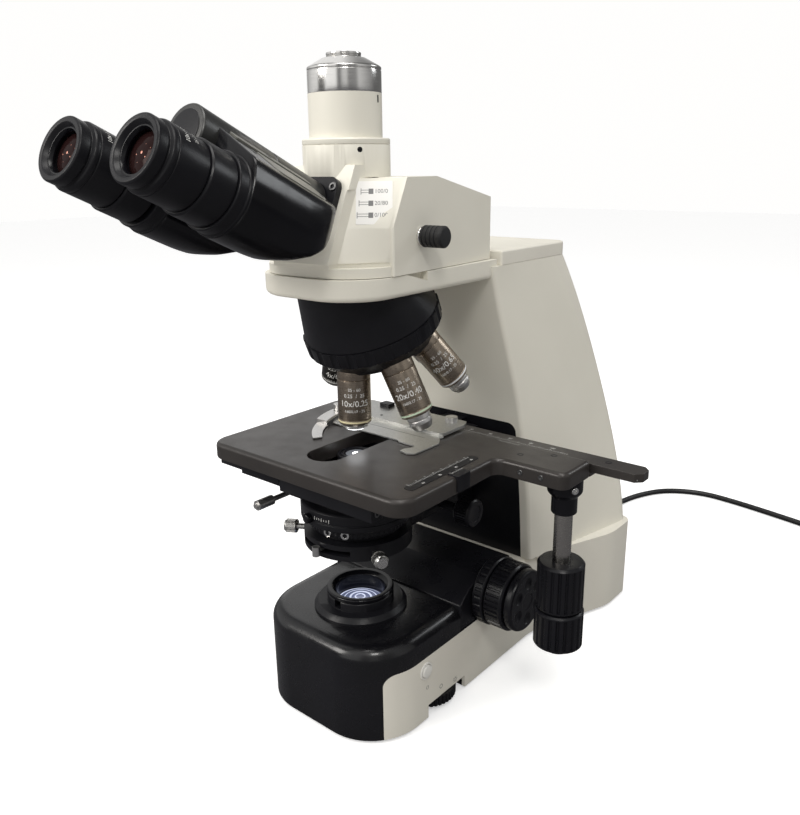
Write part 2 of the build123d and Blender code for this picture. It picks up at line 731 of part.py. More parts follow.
def turret():
    """Turret disc: grip band, chamfer, a tilted boss for each objective and the axle bore."""
    body = turned([
        (0, TURRET_BAND_TOP),
        (TURRET_RADIUS, TURRET_BAND_TOP),
        (TURRET_RADIUS, TURRET_BAND_FOOT),
        (TURRET_RADIUS - 1.5, TURRET_BAND_FOOT + 2.0),
        (TURRET_RIM, TURRET_SHOULDER),
        (TURRET_RIM - 2.0, -2.0),
        (22.0, 6.0),
        (10.0, 9.0),
        (0, 9.0),
    ])
    body -= drum(TURRET_AXLE + RUNNING_GAP, TURRET_BAND_TOP - 1, TURRET_BAND_TOP + 8.2)
    well = turned([
        (TURRET_AXLE + 4, TURRET_BAND_TOP - 1),
        (TURRET_RADIUS - 9, TURRET_BAND_TOP - 1),
        (TURRET_RADIUS - 9, TURRET_BAND_TOP + 5),
        (TURRET_AXLE + 4, TURRET_BAND_TOP + 5),
    ])
    body -= well
    for index in range(TURRET_SCALLOPS):
        turn = Rot(0, 0, (index + 0.5) * 360 / TURRET_SCALLOPS)
        body -= turn * Pos(TURRET_RADIUS + 3.4, 0, TURRET_BAND_TOP - 1) * Cylinder(
            5.0, TURRET_BAND_FOOT - TURRET_BAND_TOP + 2, align=(Align.CENTER, Align.CENTER, Align.MIN))
    body = nose_frame() * body
    for index in range(POSITIONS):
        seat = objective_frame(index)
        body -= seat * drum(SOCKET_THREAD, -SOCKET_DEPTH, 20)
        body -= seat * drum(SOCKET_THREAD - 3.0, -45, 1)
        body -= seat * drum(SOCKET_THREAD + 5.0, 0, 20)
    return body


def objective_frame(index):
    """Frame of one objective: origin on its shoulder, Z towards the specimen."""
    spin = Rot(0, 0, -360 * index / POSITIONS)
    apex = Pos(0, 0, NOSE_APEX_Z) * Rot(180 + NOSE_TILT, 0, 0)
    return apex * spin * Rot(-NOSE_TILT, 0, 0) * Pos(0, 0, NOSE_REACH)


def objective(index, length, radius, nose_radius, nose_length):
    """Objective barrel with its thread, step, nose and front lens recess."""
    body_end = length - nose_length
    neck = min(5.0, nose_length)
    points = [
        (5.0, -6.0),
        (SOCKET_THREAD - 0.01, -6.0),
        (SOCKET_THREAD - 0.01, 0),
        (radius, 0),
        (radius, 7.0),
        (radius - 0.4, 7.3),
        (radius - 0.4, 7.9),
        (radius, 8.2),
        (radius, body_end - 1.0),
        (radius - 1.0, body_end),
        (nose_radius + 1.0, body_end + neck * 0.4),
        (nose_radius, length - 1.2),
        (nose_radius - 1.2, length),
        (3.5, length),
        (3.5, length - 1.5),
        (5.0, length - 1.5),
    ]
    return objective_frame(index) * turned(points)


# Head
def head(solid):
    """Turn a solid from the head's frame to the stand's."""
    return Rot(0, 0, HEAD_TURN) * solid


def tube_frame(x=0.0, rise=0.0):
    """Frame of a tube: origin at the eyepiece rim plane, Z along the tube to the tower."""
    return Pos(0, RIM_Y, RIM_Z) * Rot(-90 - TUBE_TILT, 0, 0) * Pos(x, -rise, 0)


def tower_front(height):
    """Y of the tower's front face, square to the tubes, at a height."""
    lean = math.radians(TUBE_TILT)
    return RIM_Y + (TOWER_FACE - (RIM_Z - height) * math.sin(lean)) / math.cos(lean)


def tower_crown():
    """Upper end of the tower, which stands up into the photo tube's collar."""
    outline = [
        (tower_front(HEAD_TOP - 8), HEAD_TOP - 8),
        (tower_front(TOWER_TOP), TOWER_TOP),
        (CROWN_REAR, TOWER_TOP),
        (CROWN_REAR, HEAD_TOP - 8),
    ]
    return prism_x(outline, -TOWER_HALF_WIDTH, TOWER_HALF_WIDTH)


def head_block():
    """Cream head: block with a sloped label face, tower, flange and dovetail."""
    block = prism_x(
        [
            (HEAD_FRONT, HEAD_BOTTOM),
            (HEAD_FRONT, HEAD_SHOULDER),
            (HEAD_TOP_FRONT, HEAD_TOP),
            (HEAD_TOP_REAR, HEAD_TOP),
            (HEAD_REAR, HEAD_REAR_TOP),
            (HEAD_REAR, HEAD_BOTTOM),
        ],
        -HEAD_HALF_WIDTH,
        HEAD_HALF_WIDTH,
    )
    block = fillet(block.edges().filter_by(Axis.Z, reverse=False), HEAD_EDGE)

    def tower_slice(height):
        """Plan section of the tower and its cheeks."""
        front = tower_front(height)
        cheek = HEAD_FRONT + max(0.0, height - HEAD_SHOULDER) / (HEAD_TOP - HEAD_SHOULDER) * (
            HEAD_TOP_FRONT - HEAD_FRONT)
        half = [
            (TOWER_HALF_WIDTH - 1.5, front),
            (TOWER_HALF_WIDTH, front + CHEEK_SETBACK),
            (HEAD_HALF_WIDTH - 2.0, cheek + 1.0),
            (HEAD_HALF_WIDTH - 2.0, 20.0),
        ]
        return Pos(0, 0, height) * make_face(Polyline(*mirrored_outline(half), close=True))

    lower = loft([tower_slice(TOWER_BOTTOM), tower_slice(HEAD_SHOULDER)], ruled=True)
    upper = loft([tower_slice(HEAD_SHOULDER), tower_slice(HEAD_TOP - 0.5)], ruled=True)
    half = [(LIMB_HALF_WIDTH - 1.0, FLANGE_FRONT), (LIMB_HALF_WIDTH - 1.0, HEAD_FRONT + 20)]
    flange = Pos(0, 0, HEAD_BOTTOM) * extrude(
        rounded(mirrored_outline(half), [LIMB_CORNER, 0.5, 0.5, LIMB_CORNER]), FLANGE_TOP - HEAD_BOTTOM)
    solid = block + flange + lower + upper + tower_crown()
    dovetail = turned([
        (LIGHT_BORE, HEAD_BOTTOM + 1),
        (LIGHT_BORE, HEAD_BOTTOM - DOVETAIL_DEPTH),
        (DOVETAIL_RADIUS, HEAD_BOTTOM - DOVETAIL_DEPTH),
        (DOVETAIL_RADIUS - 2.5, HEAD_BOTTOM),
        (DOVETAIL_RADIUS - 2.5, HEAD_BOTTOM + 1),
    ])
    hollow = box(
        (-HEAD_HALF_WIDTH + HEAD_WALL, HEAD_FRONT + HEAD_WALL, HEAD_BOTTOM + HEAD_WALL),
        (HEAD_HALF_WIDTH - HEAD_WALL, HEAD_REAR - HEAD_WALL, HEAD_REAR_TOP - HEAD_WALL),
    )
    solid = solid + dovetail - hollow
    solid -= drum(LIGHT_BORE, HEAD_BOTTOM - DOVETAIL_DEPTH - 1, HEAD_BOTTOM + HEAD_WALL + 1)
    solid -= drum(CAMERA_COLLAR_RADIUS - 8, HEAD_REAR_TOP - HEAD_WALL - 1, TOWER_TOP + 1)
    rod_hole = drum(SELECTOR_ROD + RUNNING_GAP, HEAD_HALF_WIDTH - HEAD_WALL - 1, HEAD_HALF_WIDTH + 1)
    solid -= along_x(rod_hole, SELECTOR_Y, SELECTOR_Z)
    return head(solid)


def camera_collar():
    """Cream collar and sleeve of the photo tube, stepped onto the head and its tower."""
    step = HEAD_TOP
    ring = turned([
        (CAMERA_SLEEVE_RADIUS - 4, step),
        (CAMERA_COLLAR_RADIUS, step),
        (CAMERA_COLLAR_RADIUS, CAMERA_COLLAR_TOP - 4.6),
        (CAMERA_COLLAR_RADIUS - 0.7, CAMERA_COLLAR_TOP - 4.3),
        (CAMERA_COLLAR_RADIUS, CAMERA_COLLAR_TOP - 4.0),
        (CAMERA_COLLAR_RADIUS, CAMERA_COLLAR_TOP - 0.8),
        (CAMERA_COLLAR_RADIUS - 0.8, CAMERA_COLLAR_TOP),
        (CAMERA_SLEEVE_RADIUS, CAMERA_COLLAR_TOP),
        (CAMERA_SLEEVE_RADIUS, CAMERA_SLEEVE_TOP),
        (CAMERA_SLEEVE_RADIUS - 4, CAMERA_SLEEVE_TOP),
    ])
    return head(ring - tower_crown())


def camera_adapter():
    """Chrome adapter of the photo tube with its threaded camera port."""
    body = turned([
        (CAMERA_SLEEVE_RADIUS - 5, CAMERA_SLEEVE_TOP - 12),
        (CAMERA_SLEEVE_RADIUS - 4, CAMERA_SLEEVE_TOP - 12),
        (CAMERA_SLEEVE_RADIUS - 4, CAMERA_SLEEVE_TOP),
        (CAMERA_SLEEVE_RADIUS, CAMERA_SLEEVE_TOP),
        (CAMERA_SLEEVE_RADIUS, CHROME_TOP),
        (PORT_RADIUS + 3.0, PORT_SHOULDER),
        (PORT_RADIUS, PORT_SHOULDER),
        (PORT_RADIUS, PORT_TOP),
        (PORT_BORE, PORT_TOP),
        (PORT_BORE, PORT_SHOULDER - 3),
        (CAMERA_SLEEVE_RADIUS - 5, CHROME_TOP - 4),
    ])
    return head(body)


def selector_rod():
    """Light path selector: rod with a grooved knob."""
    inner = HEAD_HALF_WIDTH - HEAD_WALL - 32
    profile = [
        (0, inner),
        (SELECTOR_ROD, inner),
        (SELECTOR_ROD, SELECTOR_KNOB_START),
        (SELECTOR_KNOB - 1, SELECTOR_KNOB_START),
    ]
    grooves = 4
    pitch = (SELECTOR_KNOB_END - SELECTOR_KNOB_START - 3.0) / grooves
    for index in range(grooves):
        base = SELECTOR_KNOB_START + 1.5 + index * pitch
        profile += [
            (SELECTOR_KNOB, base),
            (SELECTOR_KNOB, base + pitch * 0.65),
            (SELECTOR_KNOB - 0.9, base + pitch * 0.7),
            (SELECTOR_KNOB - 0.9, base + pitch * 0.95),
        ]
    profile += [
        (SELECTOR_KNOB, SELECTOR_KNOB_END - 1.5),
        (SELECTOR_KNOB - 1.2, SELECTOR_KNOB_END),
        (0, SELECTOR_KNOB_END),
    ]
    return head(along_x(turned(profile), SELECTOR_Y, SELECTOR_Z))


# Binocular
def arm_section(start, end):
    """Closed arm outline in its section plane, swept from start to end along the tube."""
    lobe = Circle(ARM_RADIUS)
    keep = Pos(ARM_RADIUS - ARM_INNER, 0) * Rectangle(2 * ARM_RADIUS, 2 * ARM_RADIUS + 2)
    lobe = lobe & keep
    web = make_face(Polyline(
        (-ARM_INNER, 0),
        (-ARM_INNER, -(HINGE_RISE - HINGE_RADIUS + 5.0)),
        (-HALF_IPD + 2.0, -(HINGE_RISE - 2.0)),
        (-HALF_IPD + 7.0, -(HINGE_RISE + 12.7)),
        (ARM_PLATE_OUTER, -ARM_PLATE_RISE),
        (ARM_RADIUS - 0.4, -8.0),
        (ARM_RADIUS, 0),
        close=True,
    ))
    return Pos(0, 0, start) * extrude(lobe + web, end - start)


def arm(side):
    """Prism arm of one eyepiece tube with its half of the hinge barrel."""
    section = arm_section(ARM_START, ARM_END)
    stern = make_face(Polyline(
        (0, ARM_RADIUS + 1, ARM_END - 50),
        (0, ARM_RADIUS * 0.80, ARM_END - 28),
        (0, ARM_RADIUS * 0.35, ARM_END - 11),
        (0, -ARM_RADIUS * 0.3, ARM_END - 2),
        (0, -ARM_RADIUS * 0.6, ARM_END + 1),
        (0, ARM_RADIUS + 1, ARM_END + 1),
        close=True,
    ))
    section -= Pos(-ARM_RADIUS - 1, 0, 0) * extrude(stern, 2 * ARM_RADIUS + 2, dir=(1, 0, 0))
    hinge = Pos(-HALF_IPD, -HINGE_RISE, 0)
    own, other = ((HINGE_START, HINGE_SPLIT), (HINGE_SPLIT, HINGE_END))
    if side < 0:
        own, other = other, own
    knuckle_start = own[0] + (ARM_GAP / 2 if side < 0 else 0)
    knuckle_end = own[1] - (ARM_GAP / 2 if side > 0 else 0)
    section -= hinge * drum(HINGE_RADIUS + ARM_GAP, other[0] - 1, other[1] + 1)
    section += hinge * drum(HINGE_RADIUS, knuckle_start, knuckle_end)
    section -= hinge * drum(PIN_RADIUS + RUNNING_GAP, HINGE_START - 1, HINGE_END + 1)
    section -= drum(EYEPIECE_SLEEVE - 4, ARM_START - 1, ARM_START + 14)
    section -= drum(EYEPIECE_BORE, ARM_START, ARM_END - 30)
    placed = tube_frame(HALF_IPD) * section
    if side < 0:
        placed = mirror(placed, Plane.YZ)
    return head(placed)


def hinge_bracket():
    """Bracket on the tower face with the pin that both arms turn on."""
    start = HINGE_END + ARM_GAP
    outline = RectangleRounded(2 * TOWER_HALF_WIDTH - 12, 2 * HINGE_RADIUS + 8, 8)
    plate = Pos(0, 0, start) * extrude(outline, TOWER_FACE - start)
    pin = drum(PIN_RADIUS, HINGE_START + 2, TOWER_FACE)
    return head(tube_frame(0, HINGE_RISE) * (plate + pin))


def eyepiece(side, shift):
    """Eyepiece body: rim, grip and the sleeve that sits in the arm."""
    body = turned([
        (EYEPIECE_BORE, 3.0),
        (EYEPIECE_BORE + 2.5, 0),
        (EYEPIECE_RIM - 0.8, 0),
        (EYEPIECE_RIM, 0.8),
        (EYEPIECE_RIM, 7.0),
        (EYEPIECE_RIM - 1.2, 7.5),
        (EYEPIECE_RIM - 1.2, 10.0),
        (EYEPIECE_BODY, 11.0),
        (EYEPIECE_BODY, DIOPTER_START - KNOB_GAP / 2),
        (EYEPIECE_BODY - 2.5, DIOPTER_START - KNOB_GAP / 2),
        (EYEPIECE_BODY - 2.5, ARM_START - shift + 13.5),
        (EYEPIECE_BORE, ARM_START - shift + 13.5),
    ])
    placed = tube_frame(side * HALF_IPD) * Pos(0, 0, shift) * body
    return head(placed)


def diopter_ring(side, shift):
    """Ring that turns on the eyepiece sleeve."""
    end = DIOPTER_START + DIOPTER_WIDTH
    bore = EYEPIECE_BODY - 2.5 + DIOPTER_GAP
    ring = turned([
        (bore, DIOPTER_START),
        (EYEPIECE_SLEEVE - 0.8, DIOPTER_START),
        (EYEPIECE_SLEEVE, DIOPTER_START + 0.8),
        (EYEPIECE_SLEEVE, end - 0.8),
        (EYEPIECE_SLEEVE - 0.8, end),
        (bore, end),
    ])
    return head(tube_frame(side * HALF_IPD) * Pos(0, 0, shift) * ring)


def tube_ring(side):
    """Mouth ring of the arm around the eyepiece sleeve."""
    ring = turned([
        (EYEPIECE_BODY - 2.45, DIOPTER_START + DIOPTER_WIDTH + KNOB_GAP + 1),
        (EYEPIECE_RING - 0.8, DIOPTER_START + DIOPTER_WIDTH + KNOB_GAP + 1),
        (EYEPIECE_RING, DIOPTER_START + DIOPTER_WIDTH + KNOB_GAP + 1.8),
        (EYEPIECE_RING, ARM_START),
        (EYEPIECE_BODY - 2.45, ARM_START),
    ])
    return head(tube_frame(side * HALF_IPD) * ring)


def eye_lens(side, shift):
    """Eye lens in the bore of the eyepiece."""
    lens = drum(EYEPIECE_BORE, 6.0, 9.0) & (Pos(0, 0, 6.0 + 40.0) * Sphere(40.0))
    lens += drum(EYEPIECE_BORE, 8.5, 12.0)
    return head(tube_frame(side * HALF_IPD) * Pos(0, 0, shift) * lens)


# Stage
def stage_plate():
    """Upper stage plate with its right-hand extension, slot, rebate and drive bearing."""
    bottom = STAGE_TOP - STAGE_THICKNESS
    half_bar = BAR_WIDTH
    rear = STAGE_REAR + half_bar
    outline = rounded(
        [
            (STAGE_LEFT, STAGE_FRONT),
            (STAGE_RIGHT, STAGE_FRONT),
            (STAGE_RIGHT, EXTENSION_FRONT),
            (EXTENSION_RIGHT, EXTENSION_FRONT),
            (EXTENSION_RIGHT, rear),
            (STAGE_LEFT, rear),
        ],
        [STAGE_CORNER, STAGE_CORNER, 8.0, 8.0, 6.0, STAGE_CORNER],
    )
    plate = Pos(0, 0, bottom) * extrude(outline, STAGE_THICKNESS)
    plate = chamfer(plate.faces().sort_by(Axis.Z)[-1].edges(), 1.0)
    slot = Pos(0, (STAGE_HOLE_FRONT + STAGE_HOLE_REAR) / 2, bottom - 1) * extrude(
        RectangleRounded(
            2 * STAGE_HOLE_HALF_WIDTH, STAGE_HOLE_REAR - STAGE_HOLE_FRONT, STAGE_HOLE_HALF_WIDTH - 0.5),
        STAGE_THICKNESS + 2)
    rebate = box(
        (STAGE_LEFT - 1, STAGE_REAR, BAR_TOP - BAR_THICKNESS - GUIDE_GAP),
        (EXTENSION_RIGHT + 1, rear + 1, STAGE_TOP + 1),
    )
    collar = turned([
        (DRIVE_SHAFT + RUNNING_GAP, DRIVE_COLLAR_BOTTOM),
        (DRIVE_COLLAR_RADIUS - 2.0, DRIVE_COLLAR_BOTTOM),
        (DRIVE_COLLAR_RADIUS, DRIVE_COLLAR_BOTTOM + 2.0),
        (DRIVE_COLLAR_RADIUS, bottom - 8.0),
        (DRIVE_COLLAR_RADIUS + 2.5, bottom - 4.0),
        (DRIVE_COLLAR_RADIUS + 2.5, bottom + 1),
        (DRIVE_SHAFT + RUNNING_GAP, bottom + 1),
    ])
    solid = plate - slot - rebate + Pos(DRIVE_X, DRIVE_Y, 0) * collar
    bore = drum(DRIVE_SHAFT + RUNNING_GAP, DRIVE_COLLAR_BOTTOM - 1, bottom + 4)
    return solid - Pos(DRIVE_X, DRIVE_Y, 0) * bore


def slider_bar():
    """Sliding bar at the rear of the stage that carries the specimen holder."""
    low = STAGE_REAR + GUIDE_GAP
    bar = box((BAR_LEFT, low, BAR_TOP - BAR_THICKNESS), (BAR_RIGHT, low + BAR_WIDTH - GUIDE_GAP, BAR_TOP))
    corners = bar.edges().filter_by(Axis.Z).group_by(Axis.X)[-1]
    return chamfer(corners, 5.0)


def holder_plate():
    """Specimen holder: rear plate, fixed jaw at the right and lug for the finger."""
    low = STAGE_TOP + HOLDER_GAP
    outline = rounded(
        [
            (-62, 58),
            (-72, 56),
            (-72, 38),
            (-56, 38),
            (-50, 46),
            (40, 46),
            (36, 6),
            (42, 0),
            (71, 2),
            (65, 40),
            (57, 52),
            (46, 58),
            (46, 92),
            (-62, 92),
        ],
        [3, 3, 3, 3, 3, 4, 4, 3, 3, 6, 4, 3, 3, 3],
    )
    plate = Pos(0, 0, low) * extrude(outline, HOLDER_THICKNESS)
    pad = box((-52, STAGE_REAR + 1.0, BAR_TOP), (42, 91, low))
    plate += pad
    plate -= Pos(-64, 47, 0) * drum(2.6, low - 1, low + HOLDER_THICKNESS + 1)
    return plate


def holder_finger():
    """Curved spring finger that presses on the slide's left end."""
    low = STAGE_TOP + HOLDER_GAP + HOLDER_THICKNESS + 0.2
    outer = ThreePointArc((-70, 44), (-57, 8), (-34, -16))
    inner = ThreePointArc((-30, -9), (-47, 12), (-57, 40))
    heel = ThreePointArc((-57, 40), (-60.0, 52.5), (-70, 44))
    face = make_face(outer + Line((-34, -16), (-30, -9)) + inner + heel)
    bed = STAGE_TOP + HOLDER_GAP
    finger = Pos(0, 0, bed) * extrude(face, low + 2.2 - bed)
    finger -= box((-80, FINGER_STEP, bed - 1), (0, 60, low))
    finger -= box((-80, -30, bed + FINGER_TIP), (0, FINGER_STEP - 3.0, low + 4))
    finger -= Pos(-64, 47, 0) * drum(2.6, low - 1, low + 4)
    return finger


def holder_screws():
    """Thumb screws that hold the finger and the holder."""
    low = STAGE_TOP + HOLDER_GAP
    plate = low + HOLDER_THICKNESS
    post = drum(2.5, low, plate + 6.0) + drum(5.5, plate + 2.6, plate + 8.0)
    fixed = drum(5.5, low + HOLDER_THICKNESS, low + HOLDER_THICKNESS + 5.5)
    return [Pos(-64, 47, 0) * post, Pos(36, 84, 0) * fixed]


def y_knob():
    """Upper drive knob with its shaft tube, which moves the plate to and fro."""
    bottom = STAGE_TOP - STAGE_THICKNESS
    tube = drum(DRIVE_SHAFT, Y_KNOB_TOP - 4, bottom + 2, DRIVE_INNER_SHAFT + RUNNING_GAP)
    knob = ribbed(Y_KNOB_RADIUS, 1.2, DRIVE_RIBS, Y_KNOB_BOTTOM, Y_KNOB_TOP, 0, 0.8)
    knob -= drum(DRIVE_SHAFT, Y_KNOB_TOP - 4, Y_KNOB_TOP + 1)
    knob -= drum(DRIVE_INNER_SHAFT + RUNNING_GAP, Y_KNOB_BOTTOM - 1, Y_KNOB_TOP)
    return [Pos(DRIVE_X, DRIVE_Y, 0) * solid for solid in (tube, knob)]


def x_knob():
    """Lower drive knob with the inner shaft, which moves the specimen holder."""
    bottom = STAGE_TOP - STAGE_THICKNESS
    shaft = drum(DRIVE_INNER_SHAFT, Y_KNOB_BOTTOM - KNOB_GAP, bottom + 1.5)
    knob = ribbed(X_KNOB_RADIUS, 1.2, DRIVE_RIBS, X_KNOB_BOTTOM + 6, Y_KNOB_BOTTOM - KNOB_GAP, 0, 0.8)
    cone = turned([
        (0, X_KNOB_BOTTOM),
        (X_KNOB_RADIUS - 8, X_KNOB_BOTTOM),
        (X_KNOB_RADIUS - 1.2, X_KNOB_BOTTOM + 6),
        (0, X_KNOB_BOTTOM + 6),
    ])
    return [Pos(DRIVE_X, DRIVE_Y, 0) * solid for solid in (shaft, knob + cone)]


def stage_carrier():
    """Carrier: slide block on the rail and the lower stage frame it holds."""
    top = STAGE_TOP - STAGE_THICKNESS - GUIDE_GAP
    low = top - FRAME_THICKNESS
    back = RAIL_FRONT + RAIL_DEPTH
    half = [(FRAME_LEFT, FRAME_FRONT), (FRAME_RIGHT, FRAME_FRONT)]
    outline = rounded(
        [half[0], half[1], (FRAME_RIGHT, CARRIER_FRONT - 10), (CARRIER_HALF_WIDTH, CARRIER_FRONT),
         (-CARRIER_HALF_WIDTH, CARRIER_FRONT), (FRAME_LEFT, CARRIER_FRONT - 10)],
        [3.0, 3.0, 6.0, 2.0, 2.0, 6.0],
    )
    frame = Pos(0, 0, low) * extrude(outline, FRAME_THICKNESS)
    frame -= drum(FRAME_HOLE, low - 1, top + 1)
    block = box((-CARRIER_HALF_WIDTH, CARRIER_FRONT - 4, RAIL_BOTTOM + 28), (CARRIER_HALF_WIDTH, back, top))
    gap = SLIDE_GAP
    root = RAIL_HALF_WIDTH - 5.0
    groove = extrude(make_face(Polyline(
        (-RAIL_HALF_WIDTH - gap * 1.5, RAIL_FRONT - gap),
        (RAIL_HALF_WIDTH + gap * 1.5, RAIL_FRONT - gap),
        (root + gap * 1.5, back + 1),
        (-root - gap * 1.5, back + 1),
        close=True,
    )), 200)
    return frame + block - Pos(0, 0, RAIL_BOTTOM) * groove


# Condenser
def condenser_arm():
    """Condenser holder ring with its arm to the carrier's slide."""
    low = HOLDER_RING_TOP - HOLDER_RING_HEIGHT
    ring = drum(HOLDER_RING, low, HOLDER_RING_TOP)
    back = CARRIER_FRONT - 4.5
    arm_body = box((-22, 20, low), (22, back, HOLDER_RING_TOP))
    slide = box((-22, back - 12, low), (22, back, HOLDER_RING_TOP + 28))
    solid = ring + arm_body + slide
    solid -= drum(CONDENSER_FOOT_RADIUS + 3.0, low - 1, HOLDER_RING_TOP + 1)
    for side in (1, -1):
        solid -= centring_frame(side) * drum(CENTRING_SHANK + RUNNING_GAP, 20, 60)
    solid -= box((-26, -HOLDER_RING - 1, LEVER_LEVEL - 1.2), (26, -20, LEVER_LEVEL + LEVER_THICKNESS + 1.2))
    shaft = along_x(drum(4.0 + RUNNING_GAP, 0, 60), CONDENSER_KNOB_Y, CONDENSER_KNOB_Z)
    return solid - shaft


def centring_frame(side):
    """Frame of a centring screw: Z points outwards from the optical axis."""
    direction = -90 + side * CENTRING_ANGLE
    return Pos(0, 0, CENTRING_Z) * Rot(0, 0, direction) * Rot(0, 90, 0)


def centring_screw(side):
    """Knurled screw that centres the condenser."""
    head_end = CENTRING_HEAD_START + CENTRING_HEAD_LENGTH
    shank = drum(CENTRING_SHANK, CENTRING_TIP, CENTRING_HEAD_START + 1)
    knob = ribbed(CENTRING_HEAD, 0.5, 16, CENTRING_HEAD_START, head_end - 1.5)
    cap = drum(CENTRING_HEAD - 1.0, head_end - 1.5, head_end)
    return centring_frame(side) * (shank + knob + cap)


def condenser_body():
    """Condenser: foot, wide body and the nose that reaches into the stage hole."""
    body = turned([
        (CONDENSER_LENS + 6, CONDENSER_FOOT),
        (CONDENSER_FOOT_RADIUS - 1, CONDENSER_FOOT),
        (CONDENSER_FOOT_RADIUS, CONDENSER_FOOT + 1),
        (CONDENSER_FOOT_RADIUS, CONDENSER_BODY_BOTTOM),
        (CONDENSER_BODY, CONDENSER_BODY_BOTTOM + 0.5),
        (CONDENSER_BODY, CONDENSER_BODY_TOP - 3),
        (CONDENSER_BODY - 3, CONDENSER_BODY_TOP),
        (CONDENSER_NOSE + 8, CONDENSER_BODY_TOP + 4),
        (CONDENSER_NOSE + 2, CONDENSER_TOP - 12),
        (CONDENSER_NOSE, CONDENSER_TOP - 8),
        (CONDENSER_NOSE, CONDENSER_TOP - 1),
        (CONDENSER_NOSE - 1, CONDENSER_TOP),
        (CONDENSER_LENS, CONDENSER_TOP),
        (CONDENSER_LENS, CONDENSER_TOP - 6),
        (CONDENSER_LENS + 6, CONDENSER_TOP - 20),
    ])
    slot = box(
        (-24, -CONDENSER_FOOT_RADIUS - 1, LEVER_LEVEL - 0.5),
        (24, -CONDENSER_LENS, LEVER_LEVEL + LEVER_THICKNESS + 0.5),
    )
    lug = box(
        (LENS_LEVER_X - 5, LENS_LEVER_Y - 6, LENS_LEVER_Z - 5),
        (LENS_LEVER_X + 19, LENS_LEVER_Y + 5, LENS_LEVER_Z + 5),
    )
    lug -= lens_lever_frame() * drum(LENS_LEVER_ROD + RUNNING_GAP, 0, 10)
    return body + lug - slot


def condenser_lens():
    """Top lens of the condenser."""
    return drum(CONDENSER_LENS, CONDENSER_TOP - 6, CONDENSER_TOP - 1.0)


def aperture_lever():
    """Lever that turns the aperture diaphragm."""
    stem = box((CONDENSER_LENS + 6.5, -2, LEVER_LEVEL), (LEVER_REACH, 2, LEVER_LEVEL + LEVER_THICKNESS))
    knob = Pos(LEVER_REACH, 0, 0) * drum(3.2, LEVER_LEVEL - 3, LEVER_LEVEL + 5)
    return Rot(0, 0, -90) * (stem + knob)


def lens_lever():
    """Rod that swings the condenser's top lens in and out."""
    rod = drum(LENS_LEVER_ROD, 1.0, 47) + drum(LENS_LEVER_ROD + 2, 29, 45)
    return lens_lever_frame() * rod


def lens_lever_frame():
    """Frame of the lens lever: origin at the blind end of its bore, Z towards the user."""
    return Pos(LENS_LEVER_X, LENS_LEVER_Y, LENS_LEVER_Z) * Rot(90, 0, 0)


def condenser_knob():
    """Condenser height knob on its pinion shaft."""
    knob = ribbed(CONDENSER_KNOB_RADIUS, 0.8, 24, CONDENSER_KNOB_X, CONDENSER_KNOB_X + 16)
    shaft = drum(4.0, 2, CONDENSER_KNOB_X + 1)
    return along_x(knob + shaft, CONDENSER_KNOB_Y, CONDENSER_KNOB_Z)


# Mains cord
CORD_ROUTE = [
    (0.0, 350.0, 40.0),
    (0.5, 385.0, 39.0),
    (2.0, 425.0, 26.0),
    (3.0, 468.0, 10.0),
    (5.0, 512.0, 3.6),
    (15.0, 556.0, 3.6),
    (38.0, 597.0, 3.6),
    (82.0, 619.0, 3.6),
    (132.0, 615.0, 3.6),
    (186.0, 605.0, 3.6),
    (234.0, 594.5, 3.6),
    (277.0, 578.0, 3.6),
]


def cord_radii():
    """Largest arc that each corner of the cord's route has room for."""
    points = [Vector(*p) for p in CORD_ROUTE]
    radii = []
    for before, here, after in zip(points, points[1:], points[2:]):
        turn = (here - before).get_angle(after - here)
        shorter = min((here - before).length, (after - here).length)
        radii.append(CORD_SHARE * shorter / math.tan(math.radians(turn / 2)))
    return radii


def cord_run(connected, coil):
    """Free length of the mains cord, ending at the connector and at the coil."""
    radii = cord_radii()
    print("cord radii", [round(r) for r in radii])
    path = FilletPolyline(*CORD_ROUTE, radius=radii)
    direction = Vector(*CORD_ROUTE[1]) - Vector(*CORD_ROUTE[0])
    section = Plane(origin=CORD_ROUTE[0], z_dir=direction) * Circle(CORD_DIAMETER / 2)
    tube = sweep(section, path=path)
    ideal = math.pi * CORD_DIAMETER**2 / 4 * path.length
    print("cord volume over section times length", tube.volume / ideal)
    return tube - connected - coil


def connector():
    """Appliance connector in the inlet, with its grip and strain relief."""
    nose = box(
        (INLET_X - CONNECTOR_WIDTH / 2, BASE_REAR - INLET_DEPTH + 1.0, INLET_Z - CONNECTOR_HEIGHT / 2),
        (INLET_X + CONNECTOR_WIDTH / 2, BASE_REAR + 0.5, INLET_Z + CONNECTOR_HEIGHT / 2),
    )
    rear = Plane(origin=(INLET_X, BASE_REAR + 0.5, INLET_Z), z_dir=(0, 1, 0))
    grip = loft([
        rear * RectangleRounded(CONNECTOR_HEIGHT + 2, CONNECTOR_WIDTH + 2, 4),
        rear * Pos(0, 0, CONNECTOR_GRIP - 0.5) * RectangleRounded(
            CONNECTOR_HEIGHT - 4, CONNECTOR_WIDTH - 7, 5),
    ])
    start = CONNECTOR_GRIP - 0.5
    relief = turned([
        (0, start - 1), (6.4, start - 1), (4.4, start + RELIEF_LENGTH), (0, start + RELIEF_LENGTH)])
    return nose + grip + rear * relief


def coil_frame():
    """Centre of the coil and the angle at which the cord touches its middle turn."""
    before, end = (Vector(*p) for p in CORD_ROUTE[-2:])
    along = (end - before).normalized()
    across = Vector(along.Y, -along.X, 0)
    outer = COIL_RADIUS + COIL_COLUMNS * CORD_DIAMETER / 2
    reach = math.sqrt(outer**2 - COIL_RADIUS**2)
    centre = end + along * reach + across * COIL_RADIUS
    touch = math.degrees(math.atan2(-across.Y, -across.X))
    return centre, touch, reach


